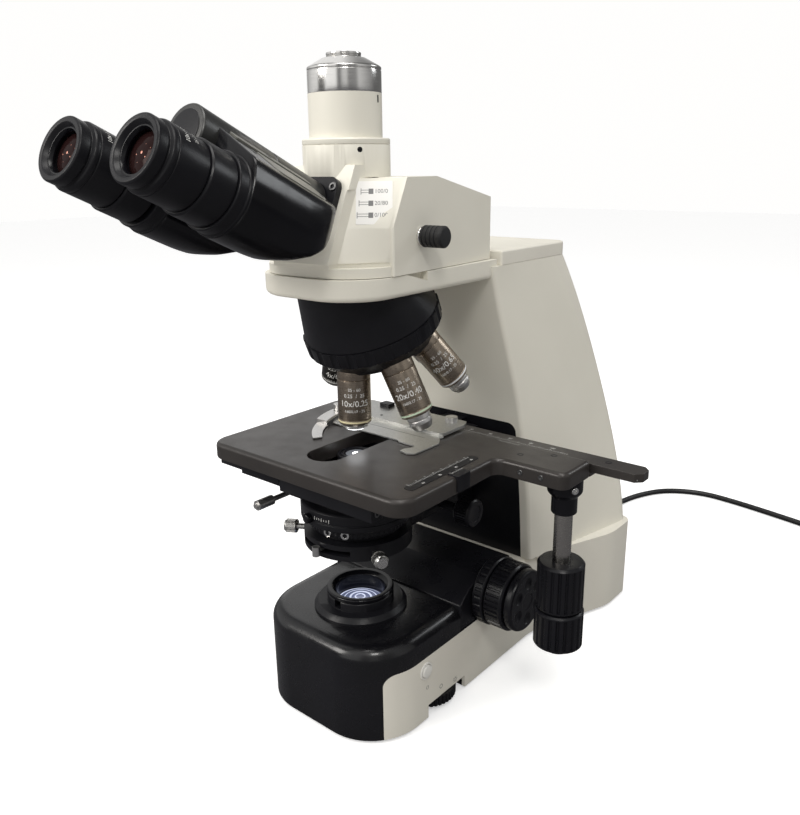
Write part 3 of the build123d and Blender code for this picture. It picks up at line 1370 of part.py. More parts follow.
def cord_coil():
    """Outer shape of the wound length of cord that lies on the bench."""
    centre, _, _ = coil_frame()
    half = COIL_COLUMNS * CORD_DIAMETER / 2
    section = RectangleRounded(2 * half, COIL_HEIGHT, 3.4).wire()
    profile = make_face(Plane.XZ * Pos(COIL_RADIUS, COIL_HEIGHT / 2) * section)
    return Pos(centre.X, centre.Y, 0) * revolve(profile, Axis.Z)


def mains_plug(coil):
    """Three-pin mains plug at the end of the cord, lying beside the coil."""
    centre, touch, reach = coil_frame()
    print("coil centre", centre.X, centre.Y)
    angle = math.radians(touch - COIL_EXIT)
    heading = Vector(math.sin(angle), -math.cos(angle), 0)
    spoke = Vector(math.cos(angle), math.sin(angle), 0)
    origin = Vector(centre.X, centre.Y, PLUG_LEVEL) + spoke * COIL_RADIUS
    frame = Plane(origin=origin + heading * PLUG_DISTANCE, x_dir=(-heading.Y, heading.X, 0), z_dir=heading)
    lead = drum(CORD_DIAMETER / 2, reach - PLUG_DISTANCE - 8, 1)
    relief = turned([(0, 0), (4.4, 0), (6.2, RELIEF_LENGTH), (0, RELIEF_LENGTH)])
    body = loft([
        Pos(0, 0, RELIEF_LENGTH - 1) * RectangleRounded(PLUG_WIDTH - 8, PLUG_HEIGHT - 6, 5),
        Pos(0, 0, RELIEF_LENGTH + PLUG_LENGTH) * RectangleRounded(PLUG_WIDTH, PLUG_HEIGHT, 5),
    ])
    face = RELIEF_LENGTH + PLUG_LENGTH - 0.5
    blade = Box(1.6, 6.3, 17, align=(Align.CENTER, Align.CENTER, Align.MIN))
    pins = [Pos(side * 6.35, -2, face) * blade for side in (1, -1)]
    ground = Pos(0, 6, 0) * drum(2.4, face, face + 20)
    return frame * (lead + relief + body + pins[0] + pins[1] + ground) - coil


def main():
    """Build every piece and write one file for each node."""
    nodes = {}
    shell = base_shell()
    body = column_body()
    hollow = column_body(COLUMN_WALL)
    nodes["base_housing"] = base_housing(shell)
    nodes["base_cover"] = base_cover(shell)
    nodes["base_plate"] = base_plate()
    nodes["rubber_feet"] = rubber_feet()
    nodes["power_button"] = power_button()
    nodes["side_button"] = side_button()
    nodes["dimmer_wheel"] = dimmer_wheel()
    nodes["field_lens_collar"] = field_lens_collar()
    nodes["field_lens"] = field_lens()
    nodes["led_lamp"] = led_lamp()
    nodes["column"] = column(body, hollow)
    nodes["rear_cover"] = rear_cover(body, hollow)
    nodes["carrier_guide"] = [column_front_panel(body, hollow), carrier_rail(body)]
    nodes["limb"] = arm_limb(body)
    nodes["arm_cap"] = arm_cap()
    nodes["focus_housing"] = focus_hump()
    nodes["coarse_drive"] = coarse_drive()
    nodes["fine_drive"] = fine_drive()
    nodes["clamp_ring"] = drive_ring()
    nodes["torque_ring"] = mirror(drive_ring(), Plane.YZ)
    nodes["nosepiece_housing"] = nose_housing()
    nodes["nosepiece_turret"] = turret()
    for name, sizes in OBJECTIVES.items():
        nodes[name] = objective(*sizes)
    nodes["head_block"] = head_block()
    nodes["camera_collar"] = camera_collar()
    nodes["camera_adapter"] = camera_adapter()
    nodes["selector_rod"] = selector_rod()
    nodes["hinge_bracket"] = hinge_bracket()
    for name, side, shift in (("right", 1, 0.0), ("left", -1, -LEFT_DIOPTER_OUT)):
        nodes[f"binocular_arm_{name}"] = arm(side) + tube_ring(side)
        nodes[f"eyepiece_{name}"] = eyepiece(side, shift)
        nodes[f"diopter_ring_{name}"] = diopter_ring(side, shift)
        nodes[f"eye_lens_{name}"] = eye_lens(side, shift)
    nodes["stage_plate"] = stage_plate()
    nodes["slider_bar"] = slider_bar()
    nodes["specimen_holder"] = holder_plate()
    nodes["holder_finger"] = holder_finger()
    nodes["holder_screws"] = holder_screws()
    nodes["y_drive_knob"] = y_knob()
    nodes["x_drive_knob"] = x_knob()
    nodes["stage_carrier"] = stage_carrier()
    nodes["condenser_arm"] = condenser_arm()
    nodes["condenser_body"] = condenser_body()
    nodes["condenser_lens"] = condenser_lens()
    nodes["aperture_lever"] = aperture_lever()
    nodes["lens_lever"] = lens_lever()
    nodes["condenser_knob"] = condenser_knob()
    for name, side in (("right", 1), ("left", -1)):
        nodes[f"centring_screw_{name}"] = centring_screw(side)
    nodes["cord_connector"] = connector()
    nodes["cord_coil"] = cord_coil()
    nodes["cord_run"] = cord_run(nodes["cord_connector"], nodes["cord_coil"])
    nodes["mains_plug"] = mains_plug(nodes["cord_coil"])
    os.makedirs("parts", exist_ok=True)
    for name, shape in nodes.items():
        shape = Compound(children=list(shape)) if isinstance(shape, list) else shape
        export_step(shape, f"parts/{name}.step")


main()
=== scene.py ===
"""Trinocular microscope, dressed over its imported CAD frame, in metres.

The frame is that of the CAD: X to the user's right, Y from the user towards
the arm, Z up along the optical axis. Sizes in the classes are millimetres and
become metres when a mesh is made.
"""
import logging
import math
from dataclasses import dataclass, field
from enum import Enum

import bmesh
import bpy
import numpy as np
from mathutils import Matrix, Vector
from mathutils.geometry import tessellate_polygon


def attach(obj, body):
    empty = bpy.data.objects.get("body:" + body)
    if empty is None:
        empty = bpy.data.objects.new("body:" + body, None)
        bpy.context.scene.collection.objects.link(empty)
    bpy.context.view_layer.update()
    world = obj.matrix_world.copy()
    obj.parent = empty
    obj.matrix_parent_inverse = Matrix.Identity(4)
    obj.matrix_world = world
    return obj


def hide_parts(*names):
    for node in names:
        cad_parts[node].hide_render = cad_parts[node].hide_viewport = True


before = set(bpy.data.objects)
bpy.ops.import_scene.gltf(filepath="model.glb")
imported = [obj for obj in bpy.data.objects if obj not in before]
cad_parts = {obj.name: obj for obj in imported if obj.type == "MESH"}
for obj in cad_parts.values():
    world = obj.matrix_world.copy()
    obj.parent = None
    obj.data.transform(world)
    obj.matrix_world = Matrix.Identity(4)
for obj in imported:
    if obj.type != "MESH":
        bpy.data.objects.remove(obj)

MM = 0.001
TAU = 2.0 * math.pi
LOG = logging.getLogger("microscope")
Profile = list[tuple[float, float]]
Point = tuple[float, float, float]


class Body(Enum):
    """CAD bodies that the pieces ride on."""

    STAND = "stand"
    POWER = "power_button"
    SIDE = "side_button"
    DIMMER = "dimmer_wheel"
    NOSEPIECE = "nosepiece"
    HEAD = "head"
    SELECTOR = "selector"
    RIGHT_ARM = "right_arm"
    LEFT_ARM = "left_arm"
    RIGHT_DIOPTER = "right_diopter"
    LEFT_DIOPTER = "left_diopter"
    CARRIER = "carrier"
    COARSE = "coarse_drive"
    FINE = "fine_drive"
    CLAMP = "clamp_ring"
    TORQUE = "torque_ring"
    STAGE = "stage"
    SLIDER = "slider"
    FINGER = "finger"
    Y_DRIVE = "y_drive"
    X_DRIVE = "x_drive"
    CONDENSER = "condenser"
    CONDENSER_KNOB = "condenser_knob"
    APERTURE = "aperture_lever"
    TOP_LENS = "lens_lever"
    CENTRING_RIGHT = "centring_right"
    CENTRING_LEFT = "centring_left"


class Graph:
    """Small helper that adds and links the nodes of one material."""

    def __init__(self, name: str) -> None:
        """Start a material with a Principled shader.

        Args:
            name: the material's name.
        """
        self.material = bpy.data.materials.new(name)
        self.material.use_nodes = True
        self.tree = self.material.node_tree
        self.shader = self.tree.nodes["Principled BSDF"]

    def add(self, kind: str, **values: object) -> bpy.types.Node:
        """Add a node and set its properties or input sockets.

        Args:
            kind: Blender's node type.
            values: property names, or input names with spaces as underscores.

        Returns:
            The new node.
        """
        node = self.tree.nodes.new(kind)
        for key, value in values.items():
            socket = next((s for s in node.inputs if s.name.replace(" ", "_") == key), None)
            if socket is not None:
                socket.default_value = value
            else:
                setattr(node, key, value)
        return node

    def link(self, source: bpy.types.NodeSocket, target: bpy.types.NodeSocket) -> None:
        """Join two sockets."""
        self.tree.links.new(source, target)

    def place(self, uv: bool, scale: Point) -> bpy.types.NodeSocket:
        """Return object or UV coordinates stretched by a scale.

        Args:
            uv: read the piece's own UV map in place of Object coordinates.
            scale: factor on each axis.

        Returns:
            The mapped vector socket.
        """
        coords = self.add("ShaderNodeTexCoord")
        mapping = self.add("ShaderNodeMapping")
        mapping.inputs["Scale"].default_value = scale
        self.link(coords.outputs["UV" if uv else "Object"], mapping.inputs["Vector"])
        return mapping.outputs["Vector"]

    def noise(
        self, vector: bpy.types.NodeSocket, scale: float, detail: float = 3.0,
    ) -> bpy.types.NodeSocket:
        """Return a noise value read at a vector."""
        texture = self.add("ShaderNodeTexNoise", Scale=scale, Detail=detail)
        self.link(vector, texture.inputs["Vector"])
        return texture.outputs["Fac"]

    def ranged(self, value: bpy.types.NodeSocket, low: float, high: float) -> bpy.types.NodeSocket:
        """Return a noise value spread over low to high."""
        span = self.add("ShaderNodeMapRange")
        span.inputs["From Min"].default_value = 0.3
        span.inputs["From Max"].default_value = 0.7
        span.inputs["To Min"].default_value = low
        span.inputs["To Max"].default_value = high
        self.link(value, span.inputs["Value"])
        return span.outputs["Result"]

    def colour(self, value: bpy.types.NodeSocket, dark: Point, light: Point) -> None:
        """Spread a value between two base colours."""
        ramp = self.add("ShaderNodeValToRGB")
        ramp.color_ramp.elements[0].position = 0.3
        ramp.color_ramp.elements[0].color = (*dark, 1.0)
        ramp.color_ramp.elements[1].position = 0.7
        ramp.color_ramp.elements[1].color = (*light, 1.0)
        self.link(value, ramp.inputs["Fac"])
        self.link(ramp.outputs["Color"], self.shader.inputs["Base Color"])

    def bump(self, height: bpy.types.NodeSocket, strength: float, distance: float) -> None:
        """Raise the surface by a height value, in metres."""
        node = self.add("ShaderNodeBump", Strength=strength, Distance=distance)
        self.link(height, node.inputs["Height"])
        self.link(node.outputs["Normal"], self.shader.inputs["Normal"])


@dataclass(frozen=True)
class Enamel:
    """Baked or moulded surface: two close tones, a fine peel and a soft gloss."""

    name: str
    tone: Point
    shade: Point
    roughness: float
    spread: float = 0.06
    peel: float = 0.10
    peel_size: float = 900.0
    coat: float = 0.0
    metallic: float = 0.0
    specular: float = 0.5

    def material(self) -> bpy.types.Material:
        """Build the material from object coordinates."""
        graph = Graph(self.name)
        where = graph.place(False, (1.0, 1.0, 1.0))
        broad = graph.noise(where, 18.0, 4.0)
        graph.colour(broad, self.shade, self.tone)
        rough = graph.ranged(
            graph.noise(where, 55.0, 5.0), self.roughness - self.spread, self.roughness + self.spread,
        )
        graph.link(rough, graph.shader.inputs["Roughness"])
        graph.bump(graph.noise(where, self.peel_size, 2.0), self.peel, 0.0002)
        graph.shader.inputs["Metallic"].default_value = self.metallic
        graph.shader.inputs["Specular IOR Level"].default_value = self.specular
        graph.shader.inputs["Coat Weight"].default_value = self.coat
        graph.shader.inputs["Coat Roughness"].default_value = 0.08
        return graph.material


@dataclass(frozen=True)
class LatheMetal:
    """Turned metal: fine rings around the piece, read from its UV map."""

    name: str
    tone: Point
    shade: Point
    roughness: float
    rings: float = 900.0
    strength: float = 0.18

    def material(self) -> bpy.types.Material:
        """Build the material; V runs along the piece's axis in metres."""
        graph = Graph(self.name)
        fine = graph.place(True, (3.0, self.rings, 1.0))
        grain = graph.noise(fine, 4.0, 4.0)
        graph.colour(grain, self.shade, self.tone)
        graph.link(
            graph.ranged(grain, self.roughness - 0.06, self.roughness + 0.08),
            graph.shader.inputs["Roughness"],
        )
        graph.bump(grain, self.strength, 0.00006)
        graph.shader.inputs["Metallic"].default_value = 1.0
        return graph.material


@dataclass(frozen=True)
class SatinMetal:
    """Blasted or anodised metal on Object coordinates."""

    name: str
    tone: Point
    shade: Point
    roughness: float
    stretch: Point = (1.0, 1.0, 1.0)

    def material(self) -> bpy.types.Material:
        """Build the material from stretched object coordinates."""
        graph = Graph(self.name)
        where = graph.place(False, self.stretch)
        grain = graph.noise(where, 700.0, 3.0)
        graph.colour(grain, self.shade, self.tone)
        graph.link(
            graph.ranged(graph.noise(where, 90.0), self.roughness - 0.05, self.roughness + 0.07),
            graph.shader.inputs["Roughness"],
        )
        graph.bump(grain, 0.12, 0.0001)
        graph.shader.inputs["Metallic"].default_value = 1.0
        return graph.material


@dataclass(frozen=True)
class Coated:
    """Coated optical glass: clear or tinted, with a soft colour in its reflection, and an emission glow that
    paints light on glass that is no lamp.
    """

    name: str
    tint: Point
    glow: Point
    glow_strength: float = 0.0
    metallic: float = 0.0
    roughness: float = 0.03
    coat: float = 1.0
    flare: Point = (1.0, 1.0, 1.0)
    specular: float = 0.5

    def material(self) -> bpy.types.Material:
        """Build the lens material with a faint change of tone across it."""
        graph = Graph(self.name)
        where = graph.place(False, (1.0, 1.0, 1.0))
        graph.colour(graph.noise(where, 60.0), tuple(0.8 * v for v in self.tint), self.tint)
        graph.link(
            graph.ranged(graph.noise(where, 400.0), self.roughness, self.roughness + 0.02),
            graph.shader.inputs["Roughness"],
        )
        graph.shader.inputs["Metallic"].default_value = self.metallic
        graph.shader.inputs["Coat Weight"].default_value = self.coat
        graph.shader.inputs["Coat Roughness"].default_value = 0.02
        graph.shader.inputs["Specular Tint"].default_value = (*self.flare, 1.0)
        graph.shader.inputs["Specular IOR Level"].default_value = self.specular
        graph.shader.inputs["Emission Color"].default_value = (*self.glow, 1.0)
        graph.shader.inputs["Emission Strength"].default_value = self.glow_strength
        return graph.material


CREAM = Enamel("cream_enamel", (0.80, 0.775, 0.685), (0.775, 0.75, 0.66), 0.42, 0.05, 0.06, 1400.0)
CREAM_PLASTIC = Enamel(
    "cream_plastic", (0.79, 0.765, 0.68), (0.765, 0.735, 0.655), 0.46, 0.05, 0.16, 2200.0,
)
BLACK = Enamel(
    "black_satin", (0.010, 0.010, 0.012), (0.006, 0.006, 0.008), 0.34, 0.06, 0.12, 1600.0, 0.0, 0.0, 0.24,
)
BLACK_PLASTIC = Enamel(
    "black_moulding", (0.009, 0.009, 0.011), (0.006, 0.006, 0.008), 0.30, 0.06, 0.20, 2600.0, 0.0, 0.0,
    0.26,
)
BLACK_GLOSS = Enamel(
    "black_gloss", (0.005, 0.005, 0.007), (0.003, 0.003, 0.004), 0.20, 0.04, 0.05, 1200.0, 0.0, 0.0, 0.32,
)
BARREL_SATIN = Enamel(
    "barrel_satin", (0.026, 0.026, 0.025), (0.020, 0.020, 0.019), 0.34, 0.05, 0.10, 1500.0, 0.0, 0.0, 0.6,
)
# Olive-grey satin of the arm's top plates; the base colour is raised above their own tone to paint in the
# broad sheen they catch from above: partly own colour, partly painted highlight.
ARM_SATIN_AND_SHEEN = Enamel(
    "arm_satin", (0.185, 0.182, 0.160), (0.150, 0.148, 0.130), 0.40, 0.05, 0.10, 1500.0, 0.0, 0.0, 0.6,
)
LABEL = Enamel("label_film", (0.90, 0.89, 0.86), (0.87, 0.86, 0.83), 0.32, 0.04, 0.03, 900.0)
BUTTON = Enamel("pale_button", (0.82, 0.81, 0.77), (0.76, 0.75, 0.71), 0.35)
DARK_METAL = LatheMetal("dark_metal", (0.20, 0.20, 0.20), (0.14, 0.14, 0.14), 0.35, 900.0, 0.12)
GRIP = Enamel("grip_rubber", (0.018, 0.018, 0.019), (0.010, 0.010, 0.011), 0.55, 0.08, 0.35, 3000.0)
STAGE_COAT = Enamel(
    "stage_coat", (0.044, 0.039, 0.036), (0.034, 0.030, 0.028), 0.34, 0.05, 0.22, 2400.0, 0.0, 0.25,
)
CORD_SKIN = Enamel("cord_skin", (0.016, 0.016, 0.017), (0.010, 0.010, 0.011), 0.42, 0.06, 0.12, 1800.0)
WHITE_INK = Enamel("white_marks", (0.80, 0.80, 0.77), (0.72, 0.72, 0.70), 0.5)
GREY_INK = Enamel("grey_marks", (0.22, 0.22, 0.22), (0.17, 0.17, 0.17), 0.5)
CHROME = LatheMetal("chrome_tube", (0.86, 0.85, 0.83), (0.74, 0.73, 0.71), 0.16, 700.0, 0.10)
STEEL = LatheMetal("turned_steel", (0.74, 0.73, 0.70), (0.60, 0.59, 0.57), 0.24)
BRONZE = LatheMetal("barrel_bronze", (0.40, 0.335, 0.265), (0.33, 0.275, 0.22), 0.30, 800.0, 0.10)
SILVER = SatinMetal("satin_silver", (0.74, 0.73, 0.71), (0.62, 0.61, 0.60), 0.32)
HOLDER_METAL = SatinMetal("holder_metal", (0.60, 0.60, 0.58), (0.50, 0.50, 0.48), 0.36)
# Dark eye-lens glass with a reddish coating tint in its reflection; its faint red emission is a painted glow
# of reflected light.
LENS = Coated(
    "lens_glass", (0.016, 0.007, 0.007), (0.25, 0.05, 0.03), 0.004, 0.0, 0.10, 0.0, (0.50, 0.30, 0.26),
    0.07,
)
# Painted reflections: glowing orange specks on the eye lens, lit by emission.
GLINT = Coated("lens_glint", (0.40, 0.14, 0.09), (0.95, 0.45, 0.32), 0.40, 0.0, 0.2, 0.0)
# Painted light: a faint bluish glowing ring round the condenser's bright spot.
SPOT_HALO = Coated("spot_halo", (0.02, 0.02, 0.02), (0.85, 0.90, 1.0), 0.16, 0.0, 0.2, 0.0)
BASE_GLOSS = Enamel(
    "base_moulding", (0.006, 0.006, 0.008), (0.004, 0.004, 0.005), 0.27, 0.06, 0.10, 2600.0, 0.25, 0.0,
    0.40,
)
SHAFT_METAL = LatheMetal("shaft_metal", (0.52, 0.50, 0.46), (0.42, 0.40, 0.37), 0.22, 600.0, 0.06)
BLACK_BARREL = LatheMetal("barrel_black", (0.085, 0.080, 0.074), (0.060, 0.057, 0.053), 0.30, 800.0, 0.08)
DARK_GLASS = Coated("condenser_glass", (0.010, 0.010, 0.012), (0.0, 0.0, 0.0), 0.0, 0.0, 0.05, 0.3)
# Painted light: a strong emission for the lamp's light seen on the lit objective's tip and in the
# condenser's top lens, neither of which is a lamp.
BRIGHT_SPOT = Coated("light_spot", (0.9, 0.92, 0.95), (0.97, 0.98, 1.0), 5.0)
# Painted light: the field lens glows by emission, and its shine arcs are painted reflections of the lamp.
LAMP_GLASS = Coated("lit_lens", (0.16, 0.18, 0.28), (0.36, 0.42, 0.72), 0.30, 0.0, 0.12)
LAMP_SHINE = Coated("lit_lens_shine", (0.60, 0.66, 0.85), (0.74, 0.80, 1.0), 0.75, 0.0, 0.12)


class Shop:
    """Makes each finish once and hands it to the pieces."""

    def __init__(self) -> None:
        """Start with no material made."""
        self.made: dict[str, bpy.types.Material] = {}

    def get(self, finish: Enamel | LatheMetal | SatinMetal | Coated) -> bpy.types.Material:
        """Return the finish's material, made at its first use."""
        if finish.name not in self.made:
            self.made[finish.name] = finish.material()
        return self.made[finish.name]


SHOP = Shop()


def smooth_by_angle(mesh: bpy.types.Mesh, angle: float) -> None:
    """Shade a mesh smooth and keep the edges sharper than an angle, in degrees."""
    mesh.shade_smooth()
    mesh.set_sharp_from_angle(angle=math.radians(angle))


def add_piece(name: str, mesh: bpy.types.Mesh, finish: object, body: Body) -> bpy.types.Object:
    """Link a mesh as a piece of the object.

    Args:
        name: the piece's name.
        mesh: its mesh, in place, in metres.
        finish: the finish of the whole piece.
        body: the CAD body it rides on.

    Returns:
        The new object.
    """
    piece = bpy.data.objects.new(name, mesh)
    bpy.context.scene.collection.objects.link(piece)
    mesh.materials.clear()
    mesh.materials.append(SHOP.get(finish))
    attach(piece, body.value)
    LOG.info("piece %s rides on %s", name, body.value)
    return piece


def dress(
    name: str, node: str, finish: object, body: Body, edge: float = 0.5, angle: float = 32.0,
    segments: int = 2,
) -> bpy.types.Object:
    """Stand a merged, edge-softened copy of a CAD node in its place.

    Args:
        name: the piece's name.
        node: the CAD node that the piece replaces.
        finish: the finish of the whole piece.
        body: the CAD body it rides on.
        edge: radius of the softened edges in millimetres, 0 for none.
        angle: edges sharper than this many degrees are softened.
        segments: steps across each softened edge.

    Returns:
        The new object.
    """
    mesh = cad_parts[node].data.copy()
    mesh.name = name
    work = bmesh.new()
    work.from_mesh(mesh)
    bmesh.ops.remove_doubles(work, verts=work.verts, dist=2e-6)
    bmesh.ops.dissolve_limit(work, angle_limit=math.radians(0.6), verts=work.verts, edges=work.edges)
    work.to_mesh(mesh)
    work.free()
    smooth_by_angle(mesh, angle)
    piece = add_piece(name, mesh, finish, body)
    if edge > 0:
        bevel = piece.modifiers.new("soft_edge", "BEVEL")
        bevel.width = edge * MM
        bevel.segments = segments
        bevel.limit_method = "ANGLE"
        bevel.angle_limit = math.radians(angle)
        bevel.harden_normals = True
        bevel.miter_outer = "MITER_ARC"
    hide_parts(node)
    return piece


@dataclass
class Studio:
    """Camera at the photograph's viewpoint, pale floor and soft lights."""

    eye: Point = (427.8, -448.7, 455.0)
    azimuth: float = 40.22
    elevation: float = 17.06
    roll: float = -0.83
    lens: float = 35.09
    floor_size: float = 14.0
    card: Point = (0.42, 0.41, 0.40)
    floor_glow: Point = (0.42, 0.42, 0.42)
    mirrored_floor: Point = (0.13, 0.13, 0.14)
    window: Point = (-0.5, -0.75, 0.45)
    air_low: float = 0.16
    air_high: float = 0.82
    walls: tuple[tuple[float, float], ...] = (
        (0.0, 0.55), (1.0, 0.55), (0.06, 0.75), (0.12, 0.80), (0.14, 0.10), (0.19, 0.08), (0.21, 0.95),
        (0.30, 1.00), (0.315, 0.30), (0.33, 0.12), (0.36, 0.60), (0.39, 0.62), (0.41, 0.24), (0.47, 0.26),
        (0.50, 0.60), (0.60, 0.30), (0.66, 0.12), (0.80, 0.15), (0.835, 0.25), (0.88, 0.90), (0.92, 0.90),
        (0.95, 0.30),
    )

    def camera(self) -> None:
        """Place the camera: its Z axis points back along the view, rolled by a small angle."""
        azimuth, elevation, roll = (math.radians(v) for v in (self.azimuth, self.elevation, self.roll))
        back = Vector(
            (
                math.sin(azimuth) * math.cos(elevation), -math.cos(azimuth) * math.cos(elevation),
                math.sin(elevation),
            )
        )
        right = (-back).cross(Vector((0, 0, 1))).normalized()
        up = right.cross(-back)
        across = right * math.cos(roll) + up * math.sin(roll)
        above = up * math.cos(roll) - right * math.sin(roll)
        data = bpy.data.cameras.new("photo_camera")
        data.lens = self.lens
        data.clip_start = 0.01
        data.clip_end = 50.0
        camera = bpy.data.objects.new("photo_camera", data)
        turn = Matrix((across, above, back)).transposed().to_4x4()
        camera.matrix_world = Matrix.Translation(Vector(self.eye) * MM) @ turn
        bpy.context.scene.collection.objects.link(camera)
        bpy.context.scene.camera = camera

    def floor(self) -> None:
        """Lay a plain pale floor: white to the eye, and a mid grey card to the light it sends back."""
        half = self.floor_size / 2
        mesh = bpy.data.meshes.new("floor")
        mesh.from_pydata(
            [(-half, -half, 0), (half, -half, 0), (half, half, 0), (-half, half, 0)], [], [(0, 1, 2, 3)],
        )
        floor = bpy.data.objects.new("floor", mesh)
        bpy.context.scene.collection.objects.link(floor)
        graph = Graph("pale_floor")
        path = graph.add("ShaderNodeLightPath")
        tone = graph.add("ShaderNodeMix", data_type="RGBA")
        tone.inputs["A"].default_value = (*self.card, 1.0)
        tone.inputs["B"].default_value = (0.90, 0.90, 0.90, 1.0)
        graph.link(path.outputs["Is Camera Ray"], tone.inputs["Factor"])
        dim = graph.add("ShaderNodeMix", data_type="RGBA")
        dim.inputs["B"].default_value = (*self.mirrored_floor, 1.0)
        graph.link(path.outputs["Is Glossy Ray"], dim.inputs["Factor"])
        graph.link(tone.outputs["Result"], dim.inputs["A"])
        graph.link(dim.outputs["Result"], graph.shader.inputs["Base Color"])
        graph.link(path.outputs["Is Camera Ray"], graph.shader.inputs["Emission Strength"])
        graph.shader.inputs["Emission Color"].default_value = (*self.floor_glow, 1.0)
        graph.shader.inputs["Roughness"].default_value = 0.9
        graph.shader.inputs["Specular IOR Level"].default_value = 0.1
        mesh.materials.append(graph.material)

    def sky(self) -> None:
        """Set the air of the room: brighter towards the window side, plain white behind the object.

        The light from a direction d is low + span * (0.5 + 0.5 d.u), u pointing to the window.
        """
        world = bpy.data.worlds.new("studio_air")
        world.use_nodes = True
        tree = world.node_tree
        background = tree.nodes["Background"]
        coords = tree.nodes.new("ShaderNodeTexCoord")
        facing = tree.nodes.new("ShaderNodeVectorMath")
        facing.operation = "DOT_PRODUCT"
        facing.inputs[1].default_value = Vector(self.window).normalized()
        tree.links.new(coords.outputs["Generated"], facing.inputs[0])
        span = tree.nodes.new("ShaderNodeMapRange")
        span.interpolation_type = "SMOOTHSTEP"
        span.inputs["From Min"].default_value = -1.0
        span.inputs["From Max"].default_value = 1.0
        span.inputs["To Min"].default_value = self.air_low
        span.inputs["To Max"].default_value = self.air_high
        tree.links.new(facing.outputs["Value"], span.inputs["Value"])
        path = tree.nodes.new("ShaderNodeLightPath")
        seen = tree.nodes.new("ShaderNodeMix")
        seen.data_type = "FLOAT"
        seen.inputs["B"].default_value = 1.0
        tree.links.new(path.outputs["Is Camera Ray"], seen.inputs["Factor"])
        gloss = tree.nodes.new("ShaderNodeMix")
        gloss.data_type = "FLOAT"
        tree.links.new(path.outputs["Is Glossy Ray"], gloss.inputs["Factor"])
        tree.links.new(span.outputs["Result"], gloss.inputs["A"])
        tree.links.new(self.room(tree, coords), gloss.inputs["B"])
        tree.links.new(gloss.outputs["Result"], seen.inputs["A"])
        tree.links.new(seen.outputs["Result"], background.inputs["Strength"])
        background.inputs["Color"].default_value = (1.0, 0.995, 0.985, 1.0)
        bpy.context.scene.world = world

    def room(self, tree: bpy.types.NodeTree, coords: bpy.types.Node) -> bpy.types.NodeSocket:
        """Return what polished parts mirror: walls, openings and dark corners round the room.

        The azimuth of a direction runs through a stepped ramp of light and dark.

        Args:
            tree: the world's node tree.
            coords: its texture coordinates.

        Returns:
            Light strength by direction.
        """
        split = tree.nodes.new("ShaderNodeSeparateXYZ")
        tree.links.new(coords.outputs["Generated"], split.inputs["Vector"])
        angle = tree.nodes.new("ShaderNodeMath")
        angle.operation = "ARCTAN2"
        tree.links.new(split.outputs["Y"], angle.inputs[0])
        tree.links.new(split.outputs["X"], angle.inputs[1])
        share = tree.nodes.new("ShaderNodeMapRange")
        share.inputs["From Min"].default_value = -math.pi
        share.inputs["From Max"].default_value = math.pi
        tree.links.new(angle.outputs["Value"], share.inputs["Value"])
        ramp = tree.nodes.new("ShaderNodeValToRGB")
        elements = ramp.color_ramp.elements
        for index, (place, level) in enumerate(self.walls):
            element = elements[index] if index < 2 else elements.new(place)
            element.position = place
            element.color = (level, level, level, 1.0)
        tree.links.new(share.outputs["Result"], ramp.inputs["Fac"])
        return ramp.outputs["Color"]

    def lamp(self, name: str, place: Point, target: Point, size: float, power: float, tint: Point) -> None:
        """Hang one square softbox that looks at a target, in metres and watts."""
        data = bpy.data.lights.new(name, "AREA")
        data.size = size
        data.energy = power
        data.color = tint
        lamp = bpy.data.objects.new(name, data)
        aim = Vector(target) - Vector(place)
        lamp.rotation_euler = aim.to_track_quat("-Z", "Y").to_euler()
        lamp.location = place
        bpy.context.scene.collection.objects.link(lamp)

    def build(self) -> None:
        """Set camera, floor, sky and lamps."""
        self.camera()
        self.floor()
        self.sky()
        self.lamp("window", (-0.9, -1.7, 1.3), (0, 0.05, 0.30), 0.9, 22.5, (1.0, 0.97, 0.93))
        self.lamp("front_fill", (0.9, -0.8, 1.5), (0, -0.05, 0.42), 0.35, 6.5, (1.0, 0.98, 0.95))
        self.lamp("ceiling", (0.2, -0.1, 2.0), (0, 0.1, 0.2), 0.8, 11.0, (1.0, 0.98, 0.95))
        self.lamp("rear_strip", (0.9, 1.5, 1.1), (0, 0.1, 0.3), 0.5, 4.0, (0.95, 0.98, 1.0))
        bpy.context.scene.view_settings.view_transform = "Standard"


